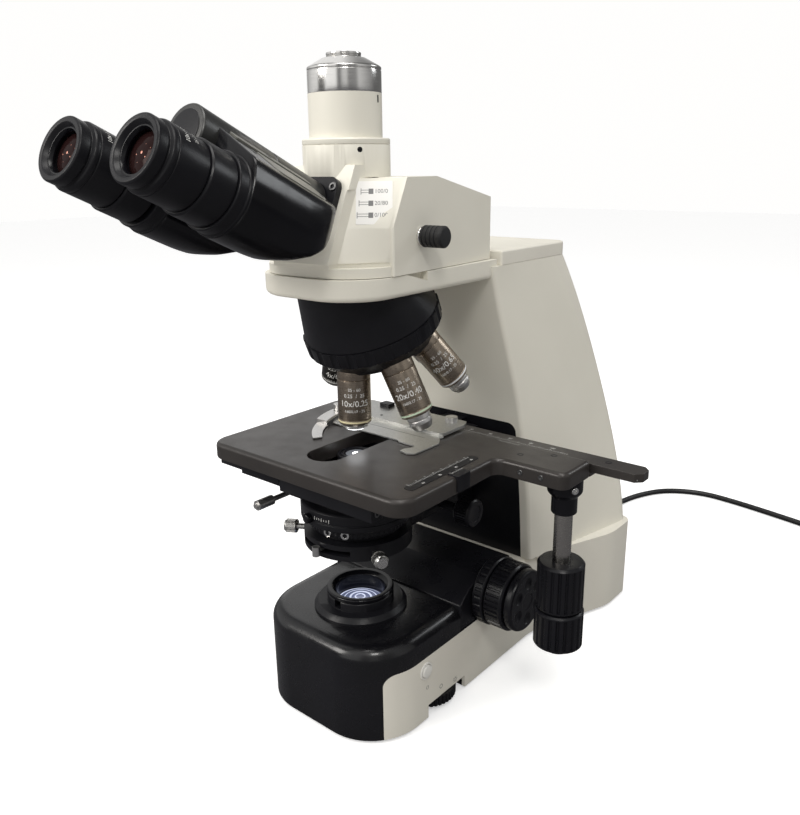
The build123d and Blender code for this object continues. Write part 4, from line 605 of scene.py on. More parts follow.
@dataclass
class MainsLead:
    """Mains lead: the free run on the bench and the neat coil that the view leaves out."""

    diameter: float = 7.0
    route: tuple[Point, ...] = (
        (0.0, 350.0, 40.0), (0.5, 385.0, 39.0), (2.0, 425.0, 26.0), (3.0, 468.0, 10.0), (5.0, 512.0, 3.6),
        (15.0, 556.0, 3.6), (38.0, 597.0, 3.6), (82.0, 619.0, 3.6), (132.0, 615.0, 3.6),
        (186.0, 605.0, 3.6), (234.0, 594.5, 3.6), (277.0, 578.0, 3.6),
    )
    centre: tuple[float, float] = (291.5, 531.7)
    radii: tuple[float, ...] = (45.0, 38.0, 31.0, 31.0, 38.0)
    levels: tuple[float, float] = (3.6, 10.7)
    exit_turn: float = 0.25
    first_angle: float = 69.0
    turn_points: int = 16
    tail: float = 36.0
    length: float = 1.765

    def coil_points(self) -> np.ndarray:
        """Points of the turns: each turn keeps its radius and slips to the next in a quarter turn."""
        start = math.radians(self.first_angle)
        total = len(self.radii) + self.exit_turn
        turned = np.arange(0.0, total + 1e-6, 1.0 / self.turn_points)
        index = np.clip(turned.astype(int), 0, len(self.radii) - 1)
        here = np.array(self.radii)[index]
        before = np.array(self.radii)[np.clip(index - 1, 0, None)]
        step = np.clip((turned - index) * 4.0, 0.0, 1.0)
        step = np.where(turned >= len(self.radii), 1.0, step)
        radius = before + (here - before) * step
        rise = np.clip((turned - 2.75) * 4.0, 0.0, 1.0)
        level = self.levels[0] + (self.levels[1] - self.levels[0]) * rise
        angle = start - TAU * turned
        return np.stack(
            [self.centre[0] + radius * np.cos(angle), self.centre[1] + radius * np.sin(angle), level], 1,
        )

    def build(self) -> None:
        coil = self.coil_points()
        heading = coil[-1] - coil[-2]
        heading[2] = 0.0
        heading /= np.linalg.norm(heading)
        tail = coil[-1] + np.outer((0.4, 0.75, 1.0), heading * self.tail)
        points = np.vstack([np.array(self.route), coil, tail]) * MM
        curve = bpy.data.curves.new("mains_lead", "CURVE")
        curve.dimensions = "3D"
        spline = curve.splines.new("NURBS")
        spline.points.add(len(points) - 1)
        spline.points.foreach_set("co", np.hstack([points, np.ones((len(points), 1))]).ravel())
        spline.order_u = 3
        spline.use_endpoint_u = True
        curve.bevel_depth = self.diameter / 2 * MM
        curve.bevel_resolution = 5
        curve.resolution_u = 10
        curve.use_fill_caps = True
        curve.materials.append(SHOP.get(CORD_SKIN))
        lead = bpy.data.objects.new("mains_lead", curve)
        bpy.context.scene.collection.objects.link(lead)
        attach(lead, Body.STAND.value)
        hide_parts("cord_run", "cord_coil")
        plug = dress("mains_plug_body", "mains_plug", BLACK_PLASTIC, Body.STAND, 0.5)
        dress("inlet_connector", "cord_connector", BLACK_PLASTIC, Body.STAND, 0.8)


def shift(x: float = 0.0, y: float = 0.0, z: float = 0.0) -> np.ndarray:
    """Return a 4 by 4 move, in millimetres."""
    out = np.eye(4)
    out[:3, 3] = (x, y, z)
    return out


def turn(axis: str, degrees: float) -> np.ndarray:
    """Return a 4 by 4 right-handed turn about a main axis.

    Args:
        axis: X, Y or Z.
        degrees: the angle.

    Returns:
        The matrix.
    """
    cos, sin = math.cos(math.radians(degrees)), math.sin(math.radians(degrees))
    first, second = {"X": (1, 2), "Y": (2, 0), "Z": (0, 1)}[axis]
    out = np.eye(4)
    out[first, first] = out[second, second] = cos
    out[first, second] = -sin
    out[second, first] = sin
    return out


def along_x(y: float, z: float) -> np.ndarray:
    """Return the frame whose Z axis runs along X through (y, z)."""
    return shift(0, y, z) @ turn("Y", 90)


HEAD_FRAME = turn("Z", 3.0)
TUBE_RIM = (0.0, -208.0, 465.0)
TUBE_FALL = -115.0
HALF_EYE_DISTANCE = 33.0
TURRET_APEX = (0.0, 0.0, 387.2)
TURRET_TURN = 203.27
SEAT_TILT = 23.27
SEAT_REACH = 88.7
POSITION_STEP = 60.0


def tube_frame(side: float, rise: float = 0.0) -> np.ndarray:
    """Return the frame of an eyepiece tube: origin in the rim plane, Z towards the head."""
    return HEAD_FRAME @ shift(*TUBE_RIM) @ turn("X", TUBE_FALL) @ shift(HALF_EYE_DISTANCE * side, -rise, 0)


def objective_frame(position: int) -> np.ndarray:
    """Return the frame of an objective: origin on its shoulder, Z towards the specimen."""
    apex = shift(*TURRET_APEX) @ turn("X", TURRET_TURN)
    return apex @ turn("Z", -POSITION_STEP * position) @ turn("X", -SEAT_TILT) @ shift(0, 0, SEAT_REACH)


def softened(profile: Profile, radius: float, closed: bool) -> np.ndarray:
    """Round the corners of a profile.

    Each corner is cut back by the radius, or by 0.4 of its shorter side, and a
    quadratic curve of four points takes its place.

    Args:
        profile: (radius, height) points in millimetres.
        radius: length cut back on each side of a corner.
        closed: whether the last point joins the first.

    Returns:
        Rounded points, one row each.
    """
    points = np.array(profile, float)
    before = np.roll(points, 1, axis=0)
    after = np.roll(points, -1, axis=0)
    back = before - points
    ahead = after - points
    back_length = np.linalg.norm(back, axis=1)
    ahead_length = np.linalg.norm(ahead, axis=1)
    cut = np.minimum(radius, 0.4 * np.minimum(back_length, ahead_length))
    start = points + back * (cut / np.maximum(back_length, 1e-9))[:, None]
    end = points + ahead * (cut / np.maximum(ahead_length, 1e-9))[:, None]
    share = np.array((0.0, 0.35, 0.65, 1.0))[None, :, None]
    curve = (1 - share) ** 2 * start[:, None] + 2 * share * (1 - share) * points[:, None] + share**2 * end[
        :, None,
    ]
    if closed:
        return curve.reshape(-1, 2)
    return np.vstack([points[:1], curve[1:-1].reshape(-1, 2), points[-1:]])


@dataclass(frozen=True)
class Ribs:
    """Straight grip ribs around a turned piece between two heights."""

    count: int
    depth: float
    low: float
    high: float
    share: float = 0.6
    slope: float = 0.08

    def cut(self, angle: np.ndarray, height: np.ndarray) -> np.ndarray:
        """Depth taken off the radius: a trapezoid wave of the angle, inside the heights.

        Args:
            angle: angles in radians, any shape.
            height: heights in millimetres, the same shape.

        Returns:
            Depth in millimetres.
        """
        phase = np.mod(angle * self.count / TAU, 1.0)
        middle = np.abs(phase - 0.5) * 2.0
        groove = 1.0 - self.share
        wave = np.clip((groove - middle) / self.slope + 0.5, 0.0, 1.0)
        inside = (height >= self.low - 1e-6) & (height <= self.high + 1e-6)
        return self.depth * wave * inside


def grid_mesh(
    name: str, points: np.ndarray, wrap_rows: bool, wrap_columns: bool, lengths: np.ndarray | None = None,
) -> bpy.types.Mesh:
    """Make a quad mesh of a grid of points, with a UV map.

    Args:
        name: the mesh's name.
        points: rows by columns by 3, in millimetres.
        wrap_rows: whether the last row joins the first.
        wrap_columns: whether the last column joins the first.
        lengths: distance of each row along the profile in metres, for V.

    Returns:
        The mesh, in metres, merged at its poles.
    """
    rows, columns = points.shape[:2]
    index = np.arange(rows * columns).reshape(rows, columns)
    if wrap_rows:
        index = np.vstack([index, index[:1]])
    if wrap_columns:
        index = np.hstack([index, index[:, :1]])
    quads = np.stack([index[:-1, :-1], index[:-1, 1:], index[1:, 1:], index[1:, :-1]], -1).reshape(-1, 4)
    mesh = bpy.data.meshes.new(name)
    mesh.vertices.add(rows * columns)
    mesh.vertices.foreach_set("co", (points.reshape(-1, 3) * MM).ravel())
    mesh.loops.add(quads.size)
    mesh.loops.foreach_set("vertex_index", quads.ravel())
    mesh.polygons.add(len(quads))
    mesh.polygons.foreach_set("loop_start", np.arange(0, quads.size, 4))
    mesh.update(calc_edges=True)
    if lengths is None:
        lengths = np.arange(rows) * MM
    across = np.arange(index.shape[1]) / max(columns, 1)
    down = np.append(lengths, lengths[-1] + MM) if wrap_rows else lengths
    corner_row = np.repeat(np.arange(index.shape[0] - 1), index.shape[1] - 1)
    corner_column = np.tile(np.arange(index.shape[1] - 1), index.shape[0] - 1)
    u = np.stack(
        [
            across[corner_column], across[corner_column + 1], across[corner_column + 1],
            across[corner_column],
        ],
        1,
    )
    v = np.stack([down[corner_row], down[corner_row], down[corner_row + 1], down[corner_row + 1]], 1)
    layer = mesh.uv_layers.new(name="along")
    layer.data.foreach_set("uv", np.stack([u, v], -1).ravel())
    work = bmesh.new()
    work.from_mesh(mesh)
    bmesh.ops.remove_doubles(work, verts=work.verts, dist=1e-7)
    bmesh.ops.recalc_face_normals(work, faces=work.faces)
    work.to_mesh(mesh)
    work.free()
    return mesh


def turned(
    name: str, profile: Profile, place: np.ndarray, finish: object, body: Body, segments: int = 96,
    edge: float = 0.25, closed: bool = False, ribs: tuple[Ribs, ...] = (), angle: float = 30.0,
) -> bpy.types.Object:
    """Make a turned piece: a rounded profile carried round the frame's Z axis.

    The point at angle a and profile point (r, h) is ((r - cut) cos a, (r - cut) sin a, h).

    Args:
        name: the piece's name.
        profile: (radius, height) points in millimetres.
        place: the frame of the piece.
        finish: the finish of the whole piece.
        body: the CAD body it rides on.
        segments: steps around the axis.
        edge: rounding of the profile's corners in millimetres.
        closed: whether the profile is a closed ring.
        ribs: grips cut into the surface.
        angle: edges sharper than this many degrees stay sharp in shading.

    Returns:
        The new object.
    """
    outline = softened(profile, edge, closed)
    around = np.linspace(0.0, TAU, segments, endpoint=False)
    angles = np.broadcast_to(around, (len(outline), segments))
    heights = np.broadcast_to(outline[:, 1:2], angles.shape)
    radii = np.broadcast_to(outline[:, 0:1], angles.shape).copy()
    for rib in ribs:
        radii = radii - rib.cut(angles, heights)
    local = np.stack([radii * np.cos(angles), radii * np.sin(angles), heights, np.ones_like(heights)], -1)
    points = (local @ place.T)[..., :3]
    steps = np.linalg.norm(np.diff(outline, axis=0), axis=1)
    lengths = np.append(0.0, np.cumsum(steps)) * MM
    mesh = grid_mesh(name, points, closed, True, lengths)
    smooth_by_angle(mesh, angle)
    return add_piece(name, mesh, finish, body)


def plate(
    name: str, outline: list[tuple[float, float]], low: float, high: float, place: np.ndarray,
    finish: object, body: Body, corner: float = 0.0, edge: float = 0.2,
) -> bpy.types.Object:
    """Make a flat plate: a closed outline with rounded corners, raised from low to high.

    Args:
        name: the piece's name.
        outline: (x, y) points in millimetres, anticlockwise.
        low: height of the lower face.
        high: height of the upper face.
        place: the frame of the plate.
        finish: the finish of the whole piece.
        body: the CAD body it rides on.
        corner: rounding of the outline's corners.
        edge: bevel along the edges.

    Returns:
        The new object.
    """
    loop = softened(outline, corner, True) if corner > 0 else np.array(outline, float)
    count = len(loop)
    flat = np.ones((2 * count, 4))
    flat[:, :2] = np.vstack([loop, loop])
    flat[:count, 2] = low
    flat[count:, 2] = high
    points = (flat @ place.T)[:, :3] * MM
    first = np.arange(count)
    second = (first + 1) % count
    walls = np.stack([first, second, second + count, first + count], 1).tolist()
    mesh = bpy.data.meshes.new(name)
    mesh.from_pydata(points.tolist(), [], [first[::-1].tolist(), (first + count).tolist(), *walls])
    work = bmesh.new()
    work.from_mesh(mesh)
    bmesh.ops.remove_doubles(work, verts=work.verts, dist=1e-7)
    bmesh.ops.recalc_face_normals(work, faces=work.faces)
    work.to_mesh(mesh)
    work.free()
    smooth_by_angle(mesh, 30.0)
    piece = add_piece(name, mesh, finish, body)
    if edge > 0:
        bevel = piece.modifiers.new("soft_edge", "BEVEL")
        bevel.width = edge * MM
        bevel.segments = 2
        bevel.limit_method = "ANGLE"
        bevel.harden_normals = True
    return piece


def digits(
    name: str, text: str, size: float, place: np.ndarray, finish: object, body: Body, radius: float = 0.0,
    lift: float = 0.06,
) -> bpy.types.Object:
    """Print plain numbers on a face, or round a drum if a radius is given.

    On a drum the text's width becomes an angle of width over radius.

    Args:
        name: the piece's name.
        text: the characters.
        size: height of the characters in millimetres.
        place: frame with X along the text and Z out of the face, or Z along the drum.
        finish: the ink.
        body: the CAD body it rides on.
        radius: radius of the drum in millimetres, 0 for a flat face.
        lift: height of the ink over the face.

    Returns:
        The new object.
    """
    curve = bpy.data.curves.new(name, "FONT")
    curve.body = text
    curve.size = size
    curve.align_x = "CENTER"
    curve.align_y = "CENTER"
    curve.resolution_u = 3
    holder = bpy.data.objects.new(name, curve)
    bpy.context.scene.collection.objects.link(holder)
    bpy.context.view_layer.update()
    mesh = bpy.data.meshes.new_from_object(holder.evaluated_get(bpy.context.evaluated_depsgraph_get()))
    bpy.data.objects.remove(holder)
    mesh.name = name
    count = len(mesh.vertices)
    flat = np.empty(count * 3)
    mesh.vertices.foreach_get("co", flat)
    flat = flat.reshape(-1, 3)
    local = np.ones((count, 4))
    if radius > 0:
        spin = flat[:, 0] / radius
        local[:, 0] = (radius + lift) * np.cos(spin)
        local[:, 1] = (radius + lift) * np.sin(spin)
        local[:, 2] = flat[:, 1]
    else:
        local[:, 0] = flat[:, 0]
        local[:, 1] = flat[:, 1]
        local[:, 2] = lift
    mesh.vertices.foreach_set("co", ((local @ place.T)[:, :3] * MM).ravel())
    mesh.update()
    return add_piece(name, mesh, finish, body)


@dataclass
class Objective:
    """One objective: barrel, grooves, colour ring, nose, front lens and prints."""

    node: str
    position: int
    length: float
    number: str
    nose_radius: float
    nose_length: float
    ring: Enamel
    barrel_radius: float = 13.5
    thread_radius: float = 12.4
    groove: float = 7.6
    facing: float = 0.0
    lit: bool = False
    coat: object = BRONZE
    small_print: tuple[tuple[float, float, str], ...] = (
        (6.2, 3.2, "160/0.17 - 25"), (-6.6, 4.2, "0.25  /  25"), (-11.6, 3.6, "25 - 60"),
    )

    def build(self) -> None:
        """Make barrel, colour rings, nose, front lens and magnification."""
        place = objective_frame(self.position)
        radius = self.barrel_radius
        nose = self.nose_radius
        span = self.nose_length
        end = self.length - span
        body = Body.NOSEPIECE
        turned(
            self.node + "_barrel",
            [
                (self.thread_radius, -6.0), (self.thread_radius, 0.0), (radius, 0.0),
                (radius, self.groove - 0.3), (radius - 0.5, self.groove), (radius, self.groove + 0.3),
                (radius, end - 4.8), (radius - 0.5, end - 4.5), (radius, end - 4.2), (radius, end - 1.2),
                (radius - 1.2, end), (nose, end), (nose, end - 3.0), (5.0, end - 3.0), (5.0, -6.0),
            ],
            place, self.coat, body, 96, 0.2, True,
        )
        turned(
            self.node + "_colour_ring",
            [
                (radius - 0.6, end - 3.6), (radius + 0.05, end - 3.6), (radius + 0.05, end - 2.2),
                (radius - 0.6, end - 2.2),
            ],
            place, self.ring, body, 96, 0.1, True,
        )
        turned(
            self.node + "_nose",
            [
                (nose - 1.5, end - 3.0), (nose, end - 3.0), (nose, end + 0.30 * span),
                (nose - 0.5, end + 0.34 * span), (nose, end + 0.38 * span), (nose, end + 0.60 * span),
                (nose - 2.2, self.length - 0.5), (nose - 2.8, self.length), (3.6, self.length),
                (3.2, self.length - 0.7), (3.2, end - 3.0),
            ],
            place, SILVER, body, 72, 0.2, True,
        )
        # On the lit objective the front lens glows by emission: painted light.
        turned(
            self.node + "_front_lens",
            [
                (0.0, self.length - 2.4), (3.3, self.length - 2.4), (3.3, self.length - 0.3),
                (1.8, self.length + 0.1), (0.0, self.length + 0.2),
            ],
            place, BRIGHT_SPOT if self.lit else DARK_GLASS, body, 32, 0.05,
        )
        # Painted light: the lit objective's tip and glow ring shine by emission.
        if self.lit:
            turned(
                self.node + "_lit_tip",
                [
                    (3.5, self.length - 0.1), (nose - 2.9, self.length - 0.1),
                    (nose - 2.9, self.length + 0.08), (3.5, self.length + 0.08),
                ],
                place, BRIGHT_SPOT, body, 48, 0.0, True,
            )
            turned(
                self.node + "_glow",
                [
                    (nose - 2.75, self.length + 0.02), (nose - 2.1, self.length - 0.5),
                    (nose - 0.9, self.length - 1.45), (nose - 1.1, self.length - 1.6),
                    (nose - 2.9, self.length - 0.2),
                ],
                place, BRIGHT_SPOT, body, 48, 0.0, True,
            )
        middle = (self.groove + end) / 2
        spin = turn("Z", self.facing)
        upright = turn("X", 180)
        print_place = place @ spin @ shift(0, 0, middle) @ upright
        digits(self.node + "_power", self.number, 7.0, print_place, WHITE_INK, body, radius, 0.07)
        for index, (drop, size, text) in enumerate(self.small_print):
            if abs(drop) < middle - self.groove:
                line = place @ spin @ shift(0, 0, middle + drop) @ upright
                digits(f"{self.node}_print_{index + 1}", text, size, line, WHITE_INK, body, radius, 0.07)
        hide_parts(self.node)


OBJECTIVES: tuple[Objective, ...] = (
    Objective(
        "objective_10x", 0, 49.5, "10x/0.25", 10.8, 4.5,
        Enamel("yellow_ring", (0.80, 0.72, 0.45), (0.74, 0.66, 0.42), 0.4), facing=46.4, lit=True,
    ),
    Objective(
        "objective_20x", 1, 58.6, "20x/0.40", 9.8, 13.0,
        Enamel("green_ring", (0.55, 0.68, 0.50), (0.50, 0.62, 0.46), 0.4), facing=101.1,
    ),
    Objective(
        "objective_40x", 2, 59.2, "40x/0.65", 9.6, 12.0,
        Enamel("pale_ring", (0.80, 0.82, 0.82), (0.74, 0.76, 0.78), 0.4), facing=154.8,
    ),
    Objective(
        "objective_100x", 3, 59.8, "100x/1.25", 7.5, 13.0,
        Enamel("white_ring", (0.85, 0.85, 0.84), (0.8, 0.8, 0.8), 0.4), facing=-148.8,
    ),
    Objective(
        "objective_4x", 5, 30.0, "4x/0.10", 11.0, 3.0,
        Enamel("grey_ring", (0.45, 0.45, 0.44), (0.40, 0.40, 0.39), 0.4), facing=-7.1, coat=BLACK_BARREL,
    ),
)


@dataclass
class EyeTube:
    """Eyepiece, diopter ring and eye lens of one side."""

    side: float
    out: float
    name: str
    arm: Body
    diopter: Body
    bore: float = 14.0
    rim: float = 19.9
    body: float = 21.4
    sleeve: float = 23.0
    start: float = 34.5
    width: float = 18.7

    def build(self) -> None:
        """Make the parts along the tube, from the rim to the arm's mouth."""
        place = tube_frame(self.side) @ shift(0, 0, self.out)
        turned(
            f"{self.name}_eyepiece_body",
            [
                (self.bore, 3.0), (self.bore + 2.2, 0.3), (self.rim - 1.2, 0.0), (self.rim, 1.0),
                (self.rim, 6.8), (self.rim - 1.0, 7.4), (self.rim - 1.0, 8.4), (self.body - 0.6, 9.4),
                (self.body, 10.6), (self.body, 12.4), (self.body - 0.4, 12.7), (self.body - 0.4, 13.2),
                (self.body, 13.5), (self.body, self.start - 0.5), (self.body - 2.5, self.start - 0.5),
                (self.body - 2.5, 75.5), (self.bore, 75.5),
            ],
            place, BLACK, self.arm, 128, 0.45, True,
        )
        turned(
            f"{self.name}_eyepiece_rim",
            [
                (self.bore - 0.6, 2.8), (self.bore + 0.4, 2.8), (self.bore + 0.4, 5.2),
                (self.bore - 1.6, 6.2), (self.bore - 1.6, 5.0),
            ],
            place, BLACK_GLOSS, self.arm, 96, 0.2, True,
        )
        turned(
            f"{self.name}_eye_glass",
            [(0.0, 5.6), (5.0, 5.8), (9.0, 6.5), (12.8, 7.8), (12.8, 9.5), (0.0, 9.5)], place, LENS,
            self.arm, 72, 0.1,
        )
        # Painted reflections: small glowing orange specks on the eye lens.
        spots = (
            (0.0, 0.0, 0.8), (3.6, 2.4, 0.6), (-4.2, 1.0, 0.5), (1.6, -4.4, 0.7), (-2.0, 5.2, 0.45),
            (5.8, -2.6, 0.4),
        )
        for index, (x, y, size) in enumerate(spots):
            depth = 5.55 + 0.013 * (x * x + y * y)
            turned(
                f"{self.name}_glint_{index + 1}",
                [(0.0, -0.05), (0.6 * size, -0.03), (size, 0.06), (0.0, 0.10)], place @ shift(x, y, depth),
                GLINT, self.arm, 20, 0.0,
            )
        for index, (text, size, depth) in enumerate((("10x / 22", 4.4, 19.0), ("25 - 22", 3.0, 25.6))):
            digits(
                f"{self.name}_tube_print_{index + 1}", text, size,
                place @ shift(0, 0, depth) @ turn("Z", -52) @ turn("X", 180), WHITE_INK, self.arm,
                self.body, 0.07,
            )
        turned(
            f"{self.name}_diopter_grip",
            [
                (self.body - 2.44, self.start), (self.sleeve - 0.9, self.start),
                (self.sleeve, self.start + 0.9), (self.sleeve, self.start + 2.0),
                (self.sleeve, self.start + 2.1), (self.sleeve, self.start + self.width - 0.4),
                (self.sleeve - 0.4, self.start + self.width), (self.body - 2.44, self.start + self.width),
            ],
            place, BLACK, self.diopter, 144, 0.1, True,
        )
        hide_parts(f"eyepiece_{self.name}")
        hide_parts(f"eye_lens_{self.name}")
        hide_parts(f"diopter_ring_{self.name}")


@dataclass
class PhotoTube:
    """Cream collar and sleeve with the chrome adapter and its threaded port."""

    collar: float = 32.5
    sleeve: float = 27.0
    port: float = 12.7

    def build(self) -> None:
        """Make the chrome adapter with its thread, the sleeve's slot and the collar's set screw."""
        turned(
            "photo_adapter",
            [
                (22.0, 492.0), (23.0, 492.0), (23.0, 504.0), (self.sleeve, 504.0), (self.sleeve, 519.0),
                (self.sleeve - 0.4, 519.3), (self.sleeve - 0.4, 519.7), (self.sleeve, 520.0),
                (self.sleeve, 521.4), (self.sleeve - 1.2, 522.4), (self.port + 3.4, 527.7),
                (self.port, 527.7), (self.port, 528.2), (self.port - 0.4, 528.5), (self.port, 528.8),
                (self.port - 0.4, 529.1), (self.port, 529.4), (self.port - 0.4, 529.7), (self.port, 530.0),
                (self.port, 531.4), (10.0, 531.4), (10.0, 524.7), (22.0, 517.8),
            ],
            HEAD_FRAME, CHROME, Body.HEAD, 144, 0.3, True,
        )
        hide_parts("camera_adapter")
        plate(
            "sleeve_slot", [(-2.6, -0.9), (2.6, -0.9), (2.6, 0.9), (-2.6, 0.9)], -0.4, 0.1,
            HEAD_FRAME @ turn("Z", 11.4) @ shift(self.sleeve, 0, 499.6) @ turn("Y", 90), BLACK, Body.HEAD,
            0.8, 0.0,
        )
        turned(
            "collar_set_screw", [(0.0, 0.15), (1.7, 0.12), (1.9, 0.0), (1.9, -0.4), (0.0, -0.4)],
            HEAD_FRAME @ turn("Z", -32.4) @ shift(self.collar, 0, 465) @ turn("Y", 90), BLACK, Body.HEAD,
            32, 0.05,
        )


@dataclass
class FocusKnobs:
    """Coarse and fine knobs with the clamp and torque rings on one shaft."""

    y: float = 91.6
    z: float = 87.0
    ring_start: float = 75.4
    ring_width: float = 10.6
    gap: float = 1.0
    coarse_width: float = 18.0
    fine_width: float = 8.0

    def side(self, side: float) -> None:
        """Make the rings and knobs of one side.

        Args:
            side: 1 for the right, -1 for the left.
        """
        place = along_x(self.y, self.z) @ (np.eye(4) if side > 0 else turn("X", 180))
        word = "right" if side > 0 else "left"
        start = self.ring_start
        end = start + self.ring_width
        turned(
            f"{word}_ring_grip",
            [
                (9.06, start), (30.3, start), (31.5, start + 1.2), (31.5, start + 2.4), (31.5, start + 2.5),
                (31.5, end - 1.3), (31.5, end - 1.2), (30.4, end), (9.06, end),
            ],
            place, BLACK_PLASTIC, Body.CLAMP if side > 0 else Body.TORQUE, 240, 0.08, True,
            (Ribs(30, 0.7, start + 2.5, end - 1.3, 0.72, 0.10),),
        )
        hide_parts("clamp_ring" if side > 0 else "torque_ring")
        start = end + self.gap
        end = start + self.coarse_width
        turned(
            f"{word}_coarse_grip",
            [
                (5.06, start), (29.0, start), (30.5, start + 1.4), (30.5, start + 1.9), (30.5, start + 2.0),
                (30.5, end - 2.8), (30.5, end - 2.7), (30.5, end - 1.6), (29.0, end), (26.5, end),
                (26.0, end - 0.8), (5.06, end - 0.8),
            ],
            place, BLACK_PLASTIC, Body.COARSE, 320, 0.08, True,
            (Ribs(40, 1.3, start + 2.0, end - 2.8, 0.60, 0.12),),
        )
        start = end + self.gap
        end = start + self.fine_width
        self.fine(f"{word}_fine_dial", place, start, end)

    def fine(self, name: str, place: np.ndarray, start: float, end: float) -> None:
        """Make a fine knob whose face has six finger dimples.

        The face height falls by a smooth bowl where a point lies inside a dimple.

        Args:
            name: the piece's name.
            place: frame along the shaft.
            start: inner end of the knob.
            end: outer end of the knob.
        """
        rim = np.array(
            [
                (5.0, start), (26.8, start), (28.0, start + 1.2), (28.0, end - 2.4), (27.2, end - 0.7),
                (25.6, end),
            ]
        )
        rim = softened([tuple(p) for p in rim], 0.5, False)
        face = np.linspace(25.4, 0.0, 46)
        profile = np.vstack([rim, np.stack([face, np.full_like(face, end)], 1)])
        segments = 240
        around = np.linspace(0, TAU, segments, endpoint=False)
        radii = np.broadcast_to(profile[:, :1], (len(profile), segments))
        heights = np.broadcast_to(profile[:, 1:2], radii.shape).copy()
        x = radii * np.cos(around)
        y = radii * np.sin(around)
        on_face = np.arange(len(profile))[:, None] >= len(rim)
        for index in range(6):
            angle = TAU * index / 6
            away = np.hypot(x - 17.0 * math.cos(angle), y - 17.0 * math.sin(angle))
            heights = heights - on_face * 2.4 * np.clip(1.0 - (away / 5.6) ** 2, 0.0, 1.0) ** 0.7
        hub = np.hypot(x, y)
        heights = heights - on_face * 0.5 * np.clip((8.4 - hub) / 0.6, 0.0, 1.0)
        local = np.stack([x, y, heights, np.ones_like(heights)], -1)
        mesh = grid_mesh(name, (local @ place.T)[..., :3], False, True)
        smooth_by_angle(mesh, 38.0)
        add_piece(name, mesh, BLACK_PLASTIC, Body.FINE)

    def build(self) -> None:
        """Make both sides and the shafts."""
        self.side(1.0)
        self.side(-1.0)
        place = along_x(self.y, self.z)
        turned(
            "coarse_shaft", [(5.06, -104.0), (9.0, -104.0), (9.0, 104.0), (5.06, 104.0)], place, STEEL,
            Body.COARSE, 48, 0.2, True,
        )
        turned(
            "fine_shaft", [(0.0, -107.0), (5.0, -107.0), (5.0, 107.0), (0.0, 107.0)], place, STEEL,
            Body.FINE, 48, 0.2,
        )
        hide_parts("coarse_drive")
        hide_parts("fine_drive")


@dataclass
class StageDrive:
    """Two ribbed knobs under the stage's extension with their steel shaft."""

    x: float = 156.0
    y: float = 70.0
    upper_top: float = 150.0
    seam: float = 109.0
    lower_bottom: float = 70.0

    def build(self) -> None:
        """Make the shaft tube, both knobs and the seam between them."""
        place = shift(self.x, self.y, 0)
        turned(
            "drive_shaft_tube", [(5.06, 108.6), (7.2, 108.6), (7.2, 223.5), (5.06, 223.5)], place,
            SHAFT_METAL, Body.Y_DRIVE, 64, 0.3, True,
        )
        top, low = self.upper_top, self.seam
        turned(
            "upper_drive_grip",
            [
                (7.2, low), (17.6, low), (19.0, low + 1.2), (19.0, low + 2.4), (19.0, low + 2.5),
                (19.0, top - 2.6), (19.0, top - 2.5), (19.0, top - 2.0), (17.2, top), (7.2, top),
            ],
            place, BLACK_PLASTIC, Body.Y_DRIVE, 240, 0.08, True,
            (Ribs(20, 1.3, low + 2.5, top - 2.6, 0.66, 0.14),),
        )
        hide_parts("y_drive_knob")
        top, low = self.seam - 1.0, self.lower_bottom
        turned(
            "lower_drive_grip",
            [
                (0.0, low), (11.0, low), (17.8, low + 5.0), (20.0, low + 6.4), (20.0, low + 7.8),
                (20.0, low + 7.9), (20.0, top - 2.6), (20.0, top - 2.5), (20.0, top - 1.4), (18.4, top),
                (0.0, top),
            ],
            place, BLACK_PLASTIC, Body.X_DRIVE, 240, 0.08, False,
            (Ribs(20, 1.4, low + 7.9, top - 2.6, 0.66, 0.14),),
        )
        turned(
            "drive_inner_shaft", [(0.0, top - 1.0), (5.0, top - 1.0), (5.0, 223.0), (0.0, 223.0)], place,
            STEEL, Body.X_DRIVE, 48, 0.2,
        )
        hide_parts("x_drive_knob")


